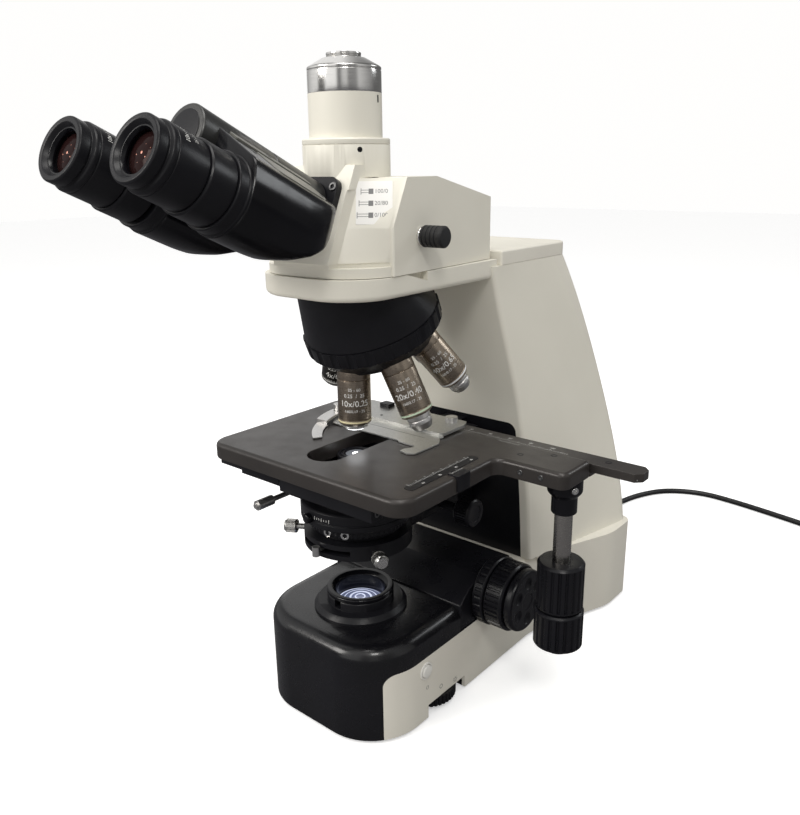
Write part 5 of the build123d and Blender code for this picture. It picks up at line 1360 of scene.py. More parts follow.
@dataclass
class SmallTurned:
    """Small turned controls: selector pull, condenser knob and centring screws."""

    def selector(self) -> None:
        """Selector pull: black grip with grooves, a pale neck and its bush."""
        place = HEAD_FRAME @ along_x(14.0, 404.0)
        pitch = 3.6
        grip = [(0.0, 60.5), (7.0, 60.5), (8.0, 61.4)]
        for index in range(4):
            base = 62.3 + index * pitch
            grip += [(8.0, base + 0.4), (7.2, base + 0.7), (7.2, base + 1.3), (8.0, base + 1.6)]
        grip += [(8.0, 78.3), (6.8, 79.5), (0.0, 79.5)]
        turned("selector_grip", grip, place, GRIP, Body.SELECTOR, 64, 0.2)
        turned(
            "selector_neck", [(0.0, 21.0), (3.0, 21.0), (3.0, 58.5), (5.2, 58.9), (5.2, 60.6), (0.0, 60.6)],
            place, STEEL, Body.SELECTOR, 48, 0.2,
        )
        turned(
            "selector_bush", [(3.1, 57.5), (6.9, 57.5), (6.9, 58.5), (6.3, 58.9), (3.1, 58.9)], place,
            BLACK, Body.HEAD, 48, 0.15, True,
        )
        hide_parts("selector_rod")

    def condenser_knob(self) -> None:
        """Condenser height knob with fine ribs on its shaft."""
        place = along_x(88.0, 156.5)
        turned(
            "condenser_grip",
            [
                (0.0, 44.0), (11.8, 44.0), (13.0, 45.2), (13.0, 46.0), (13.0, 46.1), (13.0, 57.4),
                (13.0, 57.5), (13.0, 58.6), (11.6, 60.0), (8.0, 60.0), (7.6, 59.4), (0.0, 59.4),
            ],
            place, BLACK_PLASTIC, Body.CONDENSER_KNOB, 192, 0.08, False,
            (Ribs(32, 0.8, 46.1, 57.4, 0.6, 0.14),),
        )
        turned(
            "condenser_shaft", [(0.0, 2.0), (4.0, 2.0), (4.0, 45.0), (0.0, 45.0)], place, BLACK,
            Body.CONDENSER_KNOB, 40, 0.2,
        )
        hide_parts("condenser_knob")

    def centring(self, side: float, body: Body) -> None:
        """Knurled centring screw.

        Args:
            side: 1 for the right, -1 for the left.
            body: the CAD body it rides on.
        """
        word = "right" if side > 0 else "left"
        place = shift(0, 0, 156.5) @ turn("Z", -90 + side * 59.5) @ turn("Y", 90)
        turned(
            f"centring_knurl_{word}",
            [
                (0.0, 38.0), (1.5, 38.0), (2.5, 39.5), (2.5, 54.0), (5.4, 54.0), (6.0, 54.6), (6.0, 55.2),
                (6.0, 55.3), (6.0, 62.6), (6.0, 62.7), (6.0, 63.2), (5.0, 64.0), (4.6, 65.0), (0.0, 65.0),
            ],
            place, STEEL, body, 160, 0.08, False, (Ribs(32, 0.45, 55.3, 62.6, 0.5, 0.3),),
        )
        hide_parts(f"centring_screw_{word}")

    def build(self) -> None:
        """Make every small turned control."""
        self.selector()
        self.condenser_knob()
        self.centring(1.0, Body.CENTRING_RIGHT)
        self.centring(-1.0, Body.CENTRING_LEFT)


@dataclass
class BinocularArm:
    """Prism arm of one tube: smooth shell, satin top plates, screws and its half of the hinge barrel."""

    side: float
    word: str
    body: Body
    barrel: tuple[float, float]
    clear: tuple[float, float]
    lobe: float = 26.0
    inner: float = 21.5
    hinge: tuple[float, float] = (-33.0, -36.0)
    knuckle: float = 17.0
    around: int = 180

    def place(self) -> np.ndarray:
        """Return the tube's frame, mirrored for the left arm."""
        mirror = np.diag((self.side, 1.0, 1.0, 1.0))
        return HEAD_FRAME @ mirror @ shift(*TUBE_RIM) @ turn("X", TUBE_FALL) @ shift(
            HALF_EYE_DISTANCE, 0, 0,
        )

    def section(self) -> np.ndarray:
        """Outline of the arm across the tube: a round lobe, a web to the hinge and a sloped top."""
        low = math.acos(-self.inner / self.lobe)
        arc = np.linspace(0.0, low, 22)
        lobe = [(self.lobe * math.cos(a), self.lobe * math.sin(a)) for a in arc]
        web = [(-self.inner, -22.0), (-31.0, -34.0), (-27.5, -48.2), (21.5, -22.6), (25.6, -9.0)]
        loop = softened(lobe + web, 5.0, True)
        steps = np.linalg.norm(np.roll(loop, -1, axis=0) - loop, axis=1)
        length = np.append(0.0, np.cumsum(steps))
        at = np.linspace(0.0, length[-1], self.around, endpoint=False)
        closed = np.vstack([loop, loop[:1]])
        return np.stack([np.interp(at, length, closed[:, 0]), np.interp(at, length, closed[:, 1])], 1)

    def shell(self) -> np.ndarray:
        """Points of the shell: the section carried along the tube and rounded off at the stern.

        Below, y stays under a falling line f(z), and outside, x stays under g(z), both through
        a smooth minimum -k log(exp(-a/k) + exp(-b/k)). Near the other arm's knuckle the points inside
        its radius move to an arc round it, with even steps of angle.

        Returns:
            Rows along the tube by points round the section by 3.
        """
        outline = self.section()
        centre = np.array((-2.0, -14.0))
        z = np.concatenate(
            [[62.0, 62.3, 63.0, 64.5], np.linspace(68.0, 138.0, 48), [140.0, 141.6, 143.0, 144.0, 144.6]]
        )
        inset = np.interp(
            z, [62.0, 62.3, 63.0, 141.6, 143.0, 144.0, 144.6], [1.4, 0.6, 0.0, 0.0, 0.5, 1.4, 3.0],
        )
        scale = 1.0 - inset / 28.0
        points = centre + (outline - centre)[None] * scale[:, None, None]
        floor = np.interp(
            z, [62, 92, 104, 116, 126, 134, 140, 145], [31, 28.5, 25.5, 20.5, 14.0, 6.0, -3.0, -13.0],
        )
        wall = np.interp(z, [62, 112, 124, 134, 140, 145], [31, 29.0, 26.5, 22.5, 18.5, 13.0])
        soft = 2.2
        y = -soft * np.logaddexp(-points[..., 1] / soft, -floor[:, None] / soft)
        x = -soft * np.logaddexp(-points[..., 0] / soft, -wall[:, None] / soft)
        away = np.stack([x, y], -1) - np.array(self.hinge)
        distance = np.linalg.norm(away, axis=-1)
        near = (z > self.clear[0] - 2.0) & (z < self.clear[1] + 2.0)
        reach = self.knuckle + 0.7
        inside = near[:, None] & (distance < reach)
        angle = np.arctan2(away[..., 1], away[..., 0])
        for row in np.flatnonzero(inside.any(axis=1)):
            run = np.flatnonzero(inside[row])
            spread = np.linspace(angle[row, run[0]], angle[row, run[-1]], len(run))
            away[row, run] = reach * np.stack([np.cos(spread), np.sin(spread)], -1)
        flat = np.array(self.hinge) + away
        return np.concatenate([flat, np.broadcast_to(z[:, None, None], (*flat.shape[:2], 1))], -1)

    def build(self) -> None:
        """Make the shell, barrel, mouth ring, top plates and screws."""
        place = self.place()
        points = self.shell()
        rows, columns = points.shape[:2]
        local = np.concatenate([points, np.ones((rows, columns, 1))], -1)
        mesh = grid_mesh(f"{self.word}_arm_shell", (local @ place.T)[..., :3], False, True)
        work = bmesh.new()
        work.from_mesh(mesh)
        bmesh.ops.holes_fill(work, edges=[e for e in work.edges if e.is_boundary], sides=0)
        bmesh.ops.recalc_face_normals(work, faces=work.faces)
        work.to_mesh(mesh)
        work.free()
        smooth_by_angle(mesh, 34.0)
        shell = add_piece(f"{self.word}_arm_shell", mesh, BLACK_GLOSS, self.body)
        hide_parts(f"binocular_arm_{self.word}")
        low, high = self.barrel
        knuckle = self.knuckle
        turned(
            f"{self.word}_hinge_barrel",
            [
                (5.1, low), (knuckle - 1.0, low), (knuckle, low + 1.0), (knuckle, high - 1.0),
                (knuckle - 1.0, high), (5.1, high),
            ],
            place @ shift(*self.hinge, 0), BARREL_SATIN, self.body, 144, 0.4, True,
        )
        if low < 60:
            turned(
                f"{self.word}_hinge_cap",
                [
                    (0.0, low - 0.4), (knuckle - 4.2, low - 0.4), (knuckle - 3.9, low - 0.1),
                    (knuckle - 3.9, low + 0.6), (0.0, low + 0.6),
                ],
                place @ shift(*self.hinge, 0), BLACK, self.body, 144, 0.15,
            )
        turned(
            f"{self.word}_mouth_ring",
            [
                (18.95, 53.5), (24.0, 53.5), (24.6, 54.2), (24.6, 60.4), (25.4, 61.2), (25.4, 62.6),
                (18.95, 62.6),
            ],
            place, BLACK, self.body, 128, 0.3, True,
        )
        self.top_plates(place)

    def top_plates(self, place: np.ndarray) -> None:
        """Make the satin plates, whose colour also carries a painted sheen from above, and screws on the
        arm's sloped top.

        Args:
            place: the tube's frame.
        """
        top = place @ shift(-27.5, -48.2, 0) @ turn("Z", math.degrees(math.atan2(25.6, 49.0)))
        flat = np.eye(4)
        flat[:3, 0] = top[:3, 2]
        flat[:3, 1] = top[:3, 0]
        flat[:3, 2] = -top[:3, 1]
        flat[:3, 3] = top[:3, 3]
        plate(
            f"{self.word}_top_plate",
            [(86.0, 21.0), (134.0, 21.0), (138.0, 27.0), (136.0, 43.0), (128.0, 50.5), (86.0, 50.5)], -0.6,
            0.45, flat, ARM_SATIN_AND_SHEEN, self.body, 3.0, 0.35,
        )
        plate(
            f"{self.word}_inner_strip", [(70.0, 10.5), (140.0, 10.5), (140.0, 20.2), (70.0, 20.2)], -0.8,
            1.3, flat, ARM_SATIN_AND_SHEEN, self.body, 2.0, 0.5,
        )
        for index, (z, u, lift) in enumerate(((78.0, 30.0, 0.0), (101.0, 15.3, 1.3), (132.0, 42.0, 0.45))):
            turned(
                f"{self.word}_plate_screw_{index + 1}",
                [
                    (0.0, lift + 0.1), (0.7, lift + 0.1), (0.9, lift + 0.42), (1.7, lift + 0.42),
                    (2.0, lift + 0.2), (2.0, lift - 0.6), (0.0, lift - 0.6),
                ],
                flat @ shift(z, u, 0), DARK_METAL, self.body, 32, 0.06, True,
            )


@dataclass
class HeadMarks:
    """Label film with the three pull positions, and the bracket screws on the head."""

    centre: Point = (41.4, -20.1, 428.9)
    across: Point = (0.828, 0.561, 0.0)
    out: Point = (0.523, -0.771, 0.360)
    half_width: float = 13.0
    half_height: float = 15.6
    splits: tuple[str, ...] = ("100/0", "20/80", "0/100")

    def build(self) -> None:
        """Make the label, its pictograms and the screws."""
        place = np.eye(4)
        across = np.array(self.across) / np.linalg.norm(self.across)
        out = np.array(self.out) / np.linalg.norm(self.out)
        place[:3, 0] = across
        place[:3, 1] = np.cross(out, across)
        place[:3, 2] = out
        place[:3, 3] = self.centre
        place = HEAD_FRAME @ place
        w, h = self.half_width, self.half_height
        plate(
            "position_label", [(-w, -h), (w, -h), (w, h), (-w, h)], -0.3, 0.28, place, LABEL, Body.HEAD,
            1.0, 0.05,
        )
        for index, level in enumerate((8.2, -0.4, -9.0)):
            reach = -9.6 - 1.3 * index
            for name, low_u, high_u, low_v, high_v in (
                ("stop", reach, reach + 0.45, level - 2.2, level + 2.2),
                ("rod_upper", reach, -4.0, level + 0.75, level + 1.1),
                ("rod_lower", reach, -4.0, level - 1.1, level - 0.75),
                ("grip", -4.0, -0.6, level - 1.9, level + 1.9),
            ):
                plate(
                    f"label_{name}_{index + 1}",
                    [(low_u, low_v), (high_u, low_v), (high_u, high_v), (low_u, high_v)], 0.2, 0.36, place,
                    GREY_INK, Body.HEAD, 0.0, 0.0,
                )
            digits(
                f"label_split_{index + 1}", self.splits[index], 4.2, place @ shift(5.0, level, 0.28),
                GREY_INK, Body.HEAD,
            )
        foot = [
            (27.0, -54.8), (28.4, -46.6), (55.4, -18.6), (55.4, 20.0), (-55.4, 20.0), (-55.4, -18.6),
            (-28.4, -46.6), (-27.0, -54.8),
        ]
        plate("tower_foot", foot, 384.7, 388.3, HEAD_FRAME, CREAM, Body.HEAD, 0.0, 0.3)
        turned(
            "selector_neck", [(4.2, 57.2), (7.0, 57.2), (7.0, 59.6), (6.4, 60.3), (4.2, 60.3)],
            HEAD_FRAME @ along_x(14.0, 404.0), CHROME, Body.HEAD, 64, 0.2, True,
        )
        bracket = HEAD_FRAME @ shift(*TUBE_RIM) @ turn("X", TUBE_FALL)
        for side in (-1, 1):
            turned(
                f"bracket_screw_{'left' if side < 0 else 'right'}",
                [(0.0, -0.6), (1.5, -0.6), (1.6, 1.0), (3.2, 1.0), (3.2, -2.0), (0.0, -2.0)],
                bracket @ shift(19.0 * side, -49.5, 164.6) @ turn("X", 180), DARK_METAL, Body.HEAD, 40, 0.2,
                True,
            )


@dataclass
class StageDetails:
    """Scales, holes and small hardware on the stage, its slider and its drive collar."""

    top: float = 235.0
    bar_top: float = 232.0
    corners: tuple[Point, ...] = (
        (-102.0, -72.0, 16.0), (110.0, -72.0, 16.0), (110.0, 42.0, 8.0), (171.0, 42.0, 8.0),
        (171.0, 82.0, 4.0), (-102.0, 82.0, 4.0),
    )
    edge_rows: tuple[tuple[float, float], ...] = (
        (1.2, 221.5), (0.3, 221.8), (0.0, 222.6), (0.0, 231.5), (0.27, 232.84), (1.03, 233.97),
        (2.16, 234.73), (3.5, 235.0),
    )
    slot_rows: tuple[tuple[float, float], ...] = ((0.4, 221.5), (0.0, 221.9), (0.0, 234.6), (0.5, 235.0))

    def ticks(
        self, name: str, start: tuple[float, float], step: tuple[float, float], count: int, long: float,
        width: float, level: float, body: Body, every: int = 5,
    ) -> None:
        """Print a row of scale ticks as one piece.

        Tick i is a thin rectangle at start + i * step, across the row, longer every fifth.

        Args:
            name: the piece's name.
            start: place of the first tick.
            step: distance from tick to tick along x and y.
            count: number of ticks.
            long: length of the long ticks.
            width: width of a tick.
            level: height of the printed face.
            body: the CAD body it rides on.
            every: ticks from one long tick to the next.
        """
        index = np.arange(count)
        along = np.array(step) / np.linalg.norm(step)
        across = np.array((-along[1], along[0]))
        origin = np.array(start) + index[:, None] * np.array(step)
        length = np.where(index % every == 0, long, long * 0.55)
        corners = np.stack(
            [
                origin - along * width / 2, origin + along * width / 2,
                origin + along * width / 2 + across * length[:, None],
                origin - along * width / 2 + across * length[:, None],
            ],
            1,
        ).reshape(-1, 2)
        points = np.hstack([corners, np.full((len(corners), 1), level + 0.05)]) * MM
        faces = np.arange(4 * count).reshape(-1, 4)
        mesh = bpy.data.meshes.new(name)
        mesh.from_pydata(points.tolist(), [], faces.tolist())
        work = bmesh.new()
        work.from_mesh(mesh)
        for face in work.faces:
            if face.normal.z < 0:
                face.normal_flip()
        work.to_mesh(mesh)
        work.free()
        add_piece(name, mesh, WHITE_INK, body)

    def outline(self, inset: float) -> list[tuple[float, float]]:
        """Outline of the stage moved inwards by an inset, with the same number of points for each inset.

        An outer corner of radius r keeps its centre and becomes r - inset; an inner one becomes r + inset.
        """
        points = []
        count = len(self.corners)
        for index, (x, y, radius) in enumerate(self.corners):
            before = np.array(self.corners[index - 1][:2])
            after = np.array(self.corners[(index + 1) % count][:2])
            here = np.array((x, y))
            ahead = (here - before) / np.linalg.norm(here - before)
            leave = (after - here) / np.linalg.norm(after - here)
            first = np.array((-ahead[1], ahead[0]))
            second = np.array((-leave[1], leave[0]))
            outer = 1.0 if ahead[0] * leave[1] - ahead[1] * leave[0] > 0 else -1.0
            centre = here + outer * radius * (first + second)
            for share in np.linspace(0.0, math.pi / 2, 9):
                point = centre - outer * (radius - outer * inset) * (
                    first * math.cos(share) + second * math.sin(share)
                )
                points.append((float(point[0]), float(point[1])))
        return points

    def slot(self, grow: float) -> list[tuple[float, float]]:
        """Outline of the specimen slot, wider by an amount on each side."""
        points = []
        for x, y, start in ((1.0, 1.0, 0.0), (-1.0, 1.0, 90.0), (-1.0, -1.0, 180.0), (1.0, -1.0, 270.0)):
            for angle in np.radians(start + np.linspace(0.0, 90.0, 12)):
                points.append(
                    (
                        0.5 * x + (15.0 + grow) * math.cos(angle),
                        -2.5 + y * 31.5 + (15.0 + grow) * math.sin(angle),
                    )
                )
        return points

    def top_plate(self) -> None:
        """Make the stage's plate with a well rounded top edge, its slot and the rebate of the slider."""
        rows = [[(x, y, z) for x, y in self.outline(inset)] for inset, z in self.edge_rows]
        holes = [[(x, y, z) for x, y in self.slot(grow)] for grow, z in self.slot_rows]
        work = bmesh.new()
        for group in (rows, holes):
            rings = [[work.verts.new(Vector(point) * MM) for point in row] for row in group]
            for low, high in zip(rings[:-1], rings[1:]):
                for index in range(len(low)):
                    following = (index + 1) % len(low)
                    work.faces.new((low[index], low[following], high[following], high[index]))
            group.append([rings[0], rings[-1]])
        for side in (0, 1):
            outer = rows[-1][side]
            inner = holes[-1][side]
            loops = [[vertex.co for vertex in outer], [vertex.co for vertex in inner]]
            every = outer + inner
            for face in tessellate_polygon(loops):
                work.faces.new([every[index] for index in face])
        bmesh.ops.recalc_face_normals(work, faces=work.faces)
        mesh = bpy.data.meshes.new("stage_top")
        work.to_mesh(mesh)
        work.free()
        smooth_by_angle(mesh, 40.0)
        piece = add_piece("stage_top", mesh, STAGE_COAT, Body.STAGE)
        even = piece.modifiers.new("flat_faces", "WEIGHTED_NORMAL")
        even.keep_sharp = True
        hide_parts("stage_plate")
        plate(
            "slider_rebate",
            [(-102.0, 80.0), (171.0, 80.0), (171.0, 96.0), (165.0, 102.0), (-90.0, 102.0), (-102.0, 90.0)],
            221.6, 224.8, shift(0, 0, 0), STAGE_COAT, Body.STAGE, 2.0, 0.5,
        )
        turned(
            "drive_collar",
            [
                (7.6, 192.0), (9.4, 192.0), (10.2, 193.0), (10.2, 206.0), (13.2, 209.5), (13.8, 211.0),
                (13.8, 223.0), (7.6, 223.0),
            ],
            shift(156, 70, 0), BLACK_GLOSS, Body.STAGE, 72, 0.5, True,
        )

    def holder(self) -> None:
        """Make the slide holder: a thin flange with a hook, and the plate that is screwed to the bar."""
        level = shift(0, 0, 0)
        flange = plate(
            "slide_holder",
            [
                (-50.0, 23.7), (25.0, 24.0), (27.5, 21.6), (44.2, 21.2), (46.4, 19.2), (45.8, 15.0),
                (42.9, 11.0), (42.9, 5.4), (51.5, 3.6), (57.2, 7.0), (57.6, 38.0), (50.4, 48.5),
                (50.4, 54.0), (-60.0, 54.0), (-60.0, 40.0),
            ],
            235.35, 236.7, level, HOLDER_METAL, Body.SLIDER, 0.8, 0.25,
        )
        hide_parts("specimen_holder")
        plate(
            "holder_plate",
            [(-64.0, 52.0), (46.8, 52.0), (50.2, 55.5), (50.2, 84.0), (46.4, 92.0), (-64.0, 92.0)], 236.5,
            239.2, level, HOLDER_METAL, Body.SLIDER, 0.6, 0.35,
        )
        plate(
            "holder_groove", [(-56.0, 40.6), (40.0, 40.6), (40.0, 41.2), (-56.0, 41.2)], 236.6, 236.78,
            level, DARK_METAL, Body.SLIDER, 0.0, 0.0,
        )
        plate(
            "holder_clip_block", [(-44.0, 80.0), (-33.0, 80.0), (-33.0, 89.0), (-44.0, 89.0)], 239.0, 242.6,
            level, BLACK, Body.SLIDER, 0.6, 0.4,
        )
        for index, (x, y) in enumerate(((-24.7, 60.6), (-49.0, 61.0))):
            turned(
                f"holder_pin_{index + 1}", [(0.0, 0.25), (1.1, 0.25), (1.3, 0.0), (0.0, 0.0)],
                shift(x, y, 239.2), BLACK, Body.SLIDER, 24, 0.05,
            )

    def build(self) -> None:
        """Make scales, numbers, holes, rails and screws."""
        top = self.top
        level = shift(0, 0, 0)
        plate(
            "travel_scale_strip", [(91.5, -50.0), (100.5, -50.0), (100.5, 34.0), (91.5, 34.0)], top - 0.3,
            top + 0.32, level, BLACK, Body.STAGE, 4.3, 0.1,
        )
        self.ticks("travel_scale", (94.0, -44.0), (0.0, 2.0), 37, 3.6, 0.28, top + 0.34, Body.STAGE)
        for index in range(4):
            digits(
                f"travel_number_{index + 1}", str(10 * (index + 1)), 3.0,
                shift(97.9, -34.0 + 20.0 * index, top + 0.34) @ turn("Z", 90), WHITE_INK, Body.STAGE,
            )
        plate(
            "vernier_block", [(101.0, -10.0), (111.6, -10.0), (111.6, 6.0), (101.0, 6.0)], top - 12.0,
            top + 0.9, level, BLACK, Body.STAGE, 1.2, 0.3,
        )
        self.ticks("vernier_scale", (104.6, -7.6), (0.0, 1.8), 8, 3.0, 0.26, top + 0.92, Body.STAGE, 4)
        self.ticks("slider_scale", (40.0, 88.6), (2.0, 0.0), 54, 3.6, 0.28, self.bar_top, Body.SLIDER)
        for index in range(5):
            digits(
                f"slider_number_{index + 1}", str(20 * (index + 1)), 3.4,
                shift(50.0 + 20.0 * index, 94.6, self.bar_top), WHITE_INK, Body.SLIDER,
            )
        self.ticks("slider_vernier", (90.0, 76.6), (1.8, 0.0), 11, 2.6, 0.26, top, Body.STAGE, 5)
        for name, x, y, height, body in (
            ("extension_hole", 143.0, 74.0, top, Body.STAGE),
            ("extension_hole_rear", 121.0, 60.0, top, Body.STAGE),
            ("slider_hole", 180.0, 93.0, self.bar_top, Body.SLIDER),
        ):
            turned(
                name, [(0.0, -0.8), (1.2, -0.8), (1.5, 0.12), (2.6, 0.12), (2.6, -0.3), (0.0, -0.9)],
                shift(x, y, height), BLACK, body, 32, 0.05, True,
            )
        plate(
            "front_slide_rail",
            [(-22.0, -66.0), (76.0, -66.0), (76.0, -54.0), (64.0, -49.8), (-22.0, -49.8)], 208.8, 220.6,
            level, BLACK, Body.CARRIER, 0.6, 0.5,
        )
        plate(
            "front_rail_lip",
            [
                (-94.0, -66.6), (-21.8, -66.6), (-21.8, -49.8), (-55.0, -49.8), (-60.0, -56.0),
                (-94.0, -56.0),
            ],
            215.6, 221.2, level, BLACK, Body.CARRIER, 0.6, 0.5,
        )
        plate(
            "front_rail_foot", [(-70.0, -64.6), (-22.6, -64.6), (-22.6, -57.0), (-70.0, -57.0)], 211.6,
            215.7, level, BLACK, Body.CARRIER, 0.6, 0.4,
        )
        turned(
            "stage_light_shield", [(22.0, 212.4), (41.3, 212.4), (41.3, 214.2), (22.0, 214.2)], level,
            BLACK, Body.CARRIER, 96, 0.2, True,
        )
        turned(
            "rail_end_screw", [(0.0, -0.6), (1.4, -0.6), (1.6, 0.3), (2.9, 0.3), (2.9, -1.0), (0.0, -1.0)],
            shift(76.2, -60.0, 214.5) @ turn("Y", 90), DARK_METAL, Body.CARRIER, 32, 0.1, True,
        )
        self.top_plate()
        self.holder()
        plate(
            "slider_side_rail", [(104.0, 83.6), (208.0, 83.6), (208.0, 84.8), (104.0, 84.8)], 226.4, 227.6,
            level, HOLDER_METAL, Body.SLIDER, 0.3, 0.1,
        )
        for index, (x, y) in enumerate(((132.0, 42.4), (150.0, 42.4))):
            turned(
                f"extension_screw_{index + 1}",
                [(0.0, 0.2), (0.8, 0.2), (1.0, 0.5), (2.0, 0.5), (2.2, 0.2), (2.2, -0.4), (0.0, -0.4)],
                shift(x, y - 0.4, 228.0) @ turn("X", 90), DARK_METAL, Body.STAGE, 32, 0.06, True,
            )
        turned(
            "collar_lock_screw",
            [(0.0, 0.4), (1.0, 0.4), (1.2, 1.5), (2.6, 1.5), (2.9, 1.0), (2.9, -2.0), (0.0, -2.0)],
            shift(156, 70, 215) @ turn("Z", -30) @ shift(13.6, 0, 0) @ turn("Y", 90), CHROME, Body.STAGE,
            40, 0.1, True,
        )


@dataclass
class CondenserDetails:
    """Diaphragm disc over the condenser's body, with its knob, scale and the bright spot of the top lens."""

    radius: float = 48.0
    low: float = 175.0
    high: float = 190.5

    def build(self) -> None:
        """Make the disc, its knob and marks, the rings below it and the lit spot."""
        body = Body.CONDENSER
        level = shift(0, 0, 0)
        turned(
            "diaphragm_disc",
            [
                (34.0, self.low), (self.radius - 1.4, self.low), (self.radius, self.low + 1.0),
                (self.radius, self.low + 5.4), (self.radius - 0.8, self.low + 5.8),
                (self.radius - 0.8, self.low + 6.6), (self.radius, self.low + 7.0),
                (self.radius, self.high - 1.2), (self.radius - 1.4, self.high), (34.0, self.high),
            ],
            level, BLACK, body, 160, 0.3, True,
        )
        turned(
            "diaphragm_grip",
            [(34.0, 167.4), (40.6, 167.4), (41.4, 168.2), (41.4, 173.0), (40.6, 173.8), (34.0, 173.8)],
            level, BLACK, body, 180, 0.2, True, (Ribs(60, 0.7, 168.0, 173.2, 0.5, 0.4),),
        )
        turned(
            "diaphragm_knob", [(0.0, -2.0), (4.2, -2.0), (4.2, 4.2), (3.4, 5.2), (0.0, 5.2)],
            turn("Z", -101) @ shift(self.radius - 0.4, 0, 182.4) @ turn("Y", 90), BLACK_GLOSS, body, 48,
            0.6,
        )
        for index in range(7):
            spin = turn("Z", -93.0 + 2.9 * index) @ shift(self.radius + 0.04, 0, 184.2) @ turn("Y", 90)
            long = 1.5 if index % 3 == 0 else 0.9
            plate(
                f"diaphragm_tick_{index + 1}", [(-long, -0.17), (long, -0.17), (long, 0.17), (-long, 0.17)],
                -0.04, 0.05, spin, WHITE_INK, body, 0.0, 0.0,
            )
        # Painted light: a glowing halo and a bright glowing spot on the condenser's top lens.
        turned(
            "condenser_spot_halo", [(3.3, 0.1), (8.6, 0.02), (8.6, -0.1), (3.3, -0.1)], shift(0, 0, 226.15),
            SPOT_HALO, body, 48, 0.0, True,
        )
        turned(
            "condenser_nose_shade", [(13.3, 214.0), (15.6, 214.0), (15.6, 226.4), (13.3, 226.4)], level,
            BLACK, body, 72, 0.4, True,
        )
        turned(
            "condenser_bright_spot", [(0.0, 0.9), (1.6, 0.7), (3.2, 0.0), (3.2, -0.4), (0.0, -0.4)],
            shift(0, 0, 226.2), BRIGHT_SPOT, body, 40, 0.1,
        )
        for index, angle in enumerate((-62.0, -84.0)):
            turned(
                f"fork_screw_{index + 1}",
                [(0.0, -1.0), (1.7, -1.0), (1.9, 0.6), (3.4, 0.6), (3.7, 0.0), (3.7, -2.0), (0.0, -2.0)],
                turn("Z", angle) @ shift(41.2, 0, 170.4) @ turn("Y", 90), CHROME, body, 36, 0.15, True,
            )


@dataclass
class BaseDetails:
    """Push button's ring, marks and field lens of the base."""

    wall: float = 75.0
    cover: float = 87.0

    def field_lens(self) -> None:
        """Make the field lens deep in its collar: a tinted bowl that glows by emission, with glowing arcs
        that paint the lamp's reflections in it.
        """
        low = self.cover - 1.0
        level = shift(0, 0, 0)
        glass = turned(
            "lit_field_lens",
            [
                (0.0, low), (21.9, low), (21.9, low + 2.0), (18.0, low + 3.6), (12.0, low + 5.0),
                (6.0, low + 5.8), (0.0, low + 6.0),
            ],
            level, LAMP_GLASS, Body.STAND, 96, 0.2,
        )
        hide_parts("field_lens")
        # Painted reflections of the lamp: glowing arcs on the field lens.
        for index, (radius, width) in enumerate(((19.4, 1.5), (14.6, 1.1), (9.2, 1.9), (4.2, 1.3))):
            rise = low + 6.05 - 4.0 * (radius / 21.9) ** 2.2
            turned(
                f"lens_shine_{index + 1}",
                [
                    (radius - width / 2, rise - 0.5), (radius + width / 2, rise - 0.5),
                    (radius + width / 2, rise + 0.1), (radius, rise + 0.35),
                    (radius - width / 2, rise + 0.1),
                ],
                turn("Z", 40.0 * index) @ shift(0.35 * index - 0.5, 0.4 * index - 0.6, 0), LAMP_SHINE,
                Body.STAND, 72, 0.2, True,
            )
        turned(
            "lens_well",
            [
                (21.0, self.cover + 2.6), (22.0, self.cover + 2.0), (22.4, self.cover + 14.0),
                (29.2, self.cover + 14.2), (29.2, self.cover + 17.0), (28.4, self.cover + 17.8),
                (24.6, self.cover + 17.8), (21.6, self.cover + 15.0),
            ],
            level, BLACK_GLOSS, Body.STAND, 120, 0.4, True,
        )

    def build(self) -> None:
        """Make the field lens, the button's ring, and the marks by the button and the dimmer."""
        self.field_lens()
        side = along_x(-3.0, 51.0)
        turned(
            "power_ring", [(6.1, -1.0), (7.7, -1.0), (7.7, 0.8), (7.2, 1.3), (6.1, 1.2)],
            shift(self.wall, 0, 0) @ side, BUTTON, Body.STAND, 72, 0.15, True,
        )
        mark = shift(self.wall + 0.06, 0, 0)
        for name, y, z, outer, inner in (
            ("lamp_mark", 17.9, 24.1, 2.1, 1.6), ("power_mark", 38.3, 19.4, 1.9, 1.4),
            ("button_mark", -1.0, 33.6, 1.7, 1.3),
        ):
            turned(
                name, [(inner, 0.0), (outer, 0.0), (outer, 0.06), (inner, 0.06)], mark @ along_x(y, z),
                GREY_INK, Body.STAND, 48, 0.0, True,
            )
        for index in range(8):
            angle = 45.0 * index
            ray = mark @ along_x(38.3, 19.4) @ turn("Z", angle)
            plate(
                f"lamp_ray_{index + 1}", [(2.4, -0.2), (3.3, -0.2), (3.3, 0.2), (2.4, 0.2)], 0.0, 0.06, ray,
                GREY_INK, Body.STAND, 0.0, 0.0,
            )


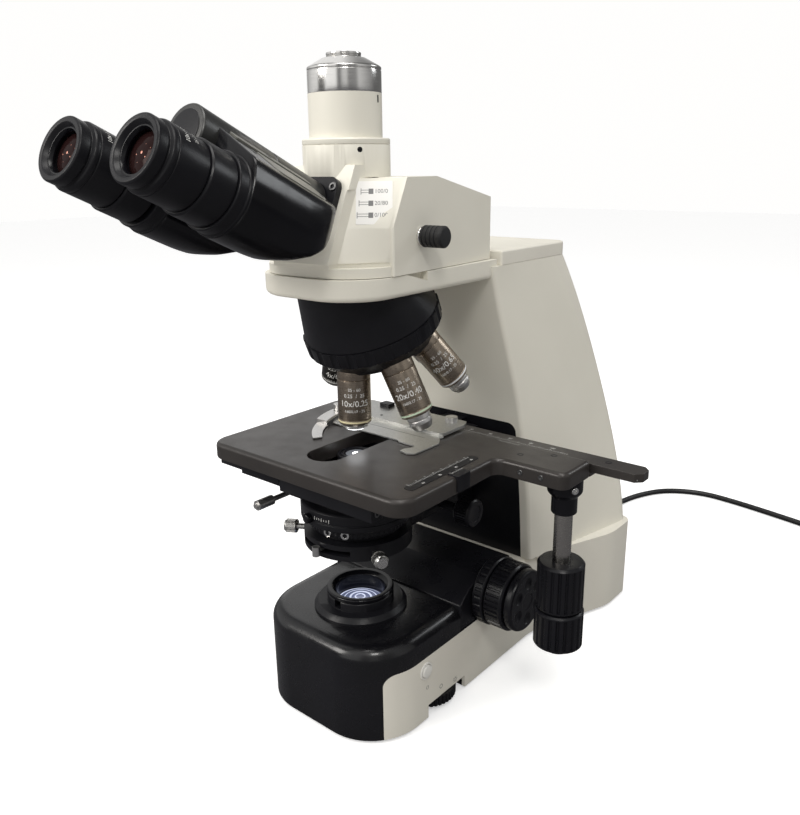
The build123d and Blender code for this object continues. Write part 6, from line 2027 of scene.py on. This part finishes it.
PLAIN_NODES: tuple[tuple[str, str, object, Body, float], ...] = (
    ("cream_base", "base_housing", CREAM_PLASTIC, Body.STAND, 0.5),
    ("black_base_cover", "base_cover", BASE_GLOSS, Body.STAND, 0.5),
    ("bottom_plate", "base_plate", BLACK, Body.STAND, 0.0), ("feet", "rubber_feet", GRIP, Body.STAND, 0.4),
    ("power_push", "power_button", BUTTON, Body.POWER, 0.3),
    ("side_push", "side_button", BLACK_PLASTIC, Body.SIDE, 0.3),
    ("dimmer", "dimmer_wheel", BLACK_PLASTIC, Body.DIMMER, 0.3),
    ("lens_collar", "field_lens_collar", BLACK, Body.STAND, 0.3),
    ("lamp_house", "led_lamp", SILVER, Body.STAND, 0.0), ("cream_column", "column", CREAM, Body.STAND, 1.2),
    ("cream_rear_cover", "rear_cover", CREAM_PLASTIC, Body.STAND, 0.8),
    ("guide_panel", "carrier_guide", BLACK, Body.STAND, 0.6),
    ("cream_limb", "limb", CREAM, Body.STAND, 0.8),
    ("cream_arm_cap", "arm_cap", CREAM_PLASTIC, Body.STAND, 0.6),
    ("focus_block", "focus_housing", BLACK_PLASTIC, Body.STAND, 1.5),
    ("nose_mount", "nosepiece_housing", BLACK, Body.STAND, 0.6),
    ("turret_disc", "nosepiece_turret", BLACK, Body.NOSEPIECE, 0.4),
    ("cream_head", "head_block", CREAM, Body.HEAD, 1.0),
    ("photo_collar", "camera_collar", CREAM, Body.HEAD, 0.4),
    ("hinge_foot", "hinge_bracket", BLACK, Body.HEAD, 0.5),
    ("carrier_frame", "stage_carrier", BLACK, Body.CARRIER, 0.5),
    ("holder_slide", "slider_bar", STAGE_COAT, Body.SLIDER, 0.4),
    ("holder_thumb_screws", "holder_screws", SILVER, Body.SLIDER, 0.2),
    ("spring_finger", "holder_finger", SILVER, Body.FINGER, 0.2),
    ("condenser_holder", "condenser_arm", BLACK, Body.CONDENSER, 0.5),
    ("condenser_lens_body", "condenser_body", BLACK, Body.CONDENSER, 0.4),
    ("condenser_top_lens", "condenser_lens", DARK_GLASS, Body.CONDENSER, 0.0),
    ("diaphragm_lever", "aperture_lever", SILVER, Body.APERTURE, 0.2),
    ("swing_lever", "lens_lever", SILVER, Body.TOP_LENS, 0.2),
)


def main() -> None:
    """Build the studio, the lead and every sub-assembly."""
    logging.basicConfig(level=logging.INFO, format="%(message)s")
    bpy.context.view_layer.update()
    Studio().build()
    MainsLead().build()
    for name, node, finish, body, edge in PLAIN_NODES:
        dress(name, node, finish, body, edge)
    for objective in OBJECTIVES:
        objective.build()
    EyeTube(1.0, 0.0, "right", Body.RIGHT_ARM, Body.RIGHT_DIOPTER).build()
    EyeTube(-1.0, -2.5, "left", Body.LEFT_ARM, Body.LEFT_DIOPTER).build()
    BinocularArm(1.0, "right", Body.RIGHT_ARM, (50.0, 113.75), (114.0, 164.0)).build()
    BinocularArm(-1.0, "left", Body.LEFT_ARM, (114.25, 164.0), (50.0, 114.0)).build()
    HeadMarks().build()
    StageDetails().build()
    CondenserDetails().build()
    BaseDetails().build()
    PhotoTube().build()
    FocusKnobs().build()
    StageDrive().build()
    SmallTurned().build()


if __name__ == "__main__":
    main()
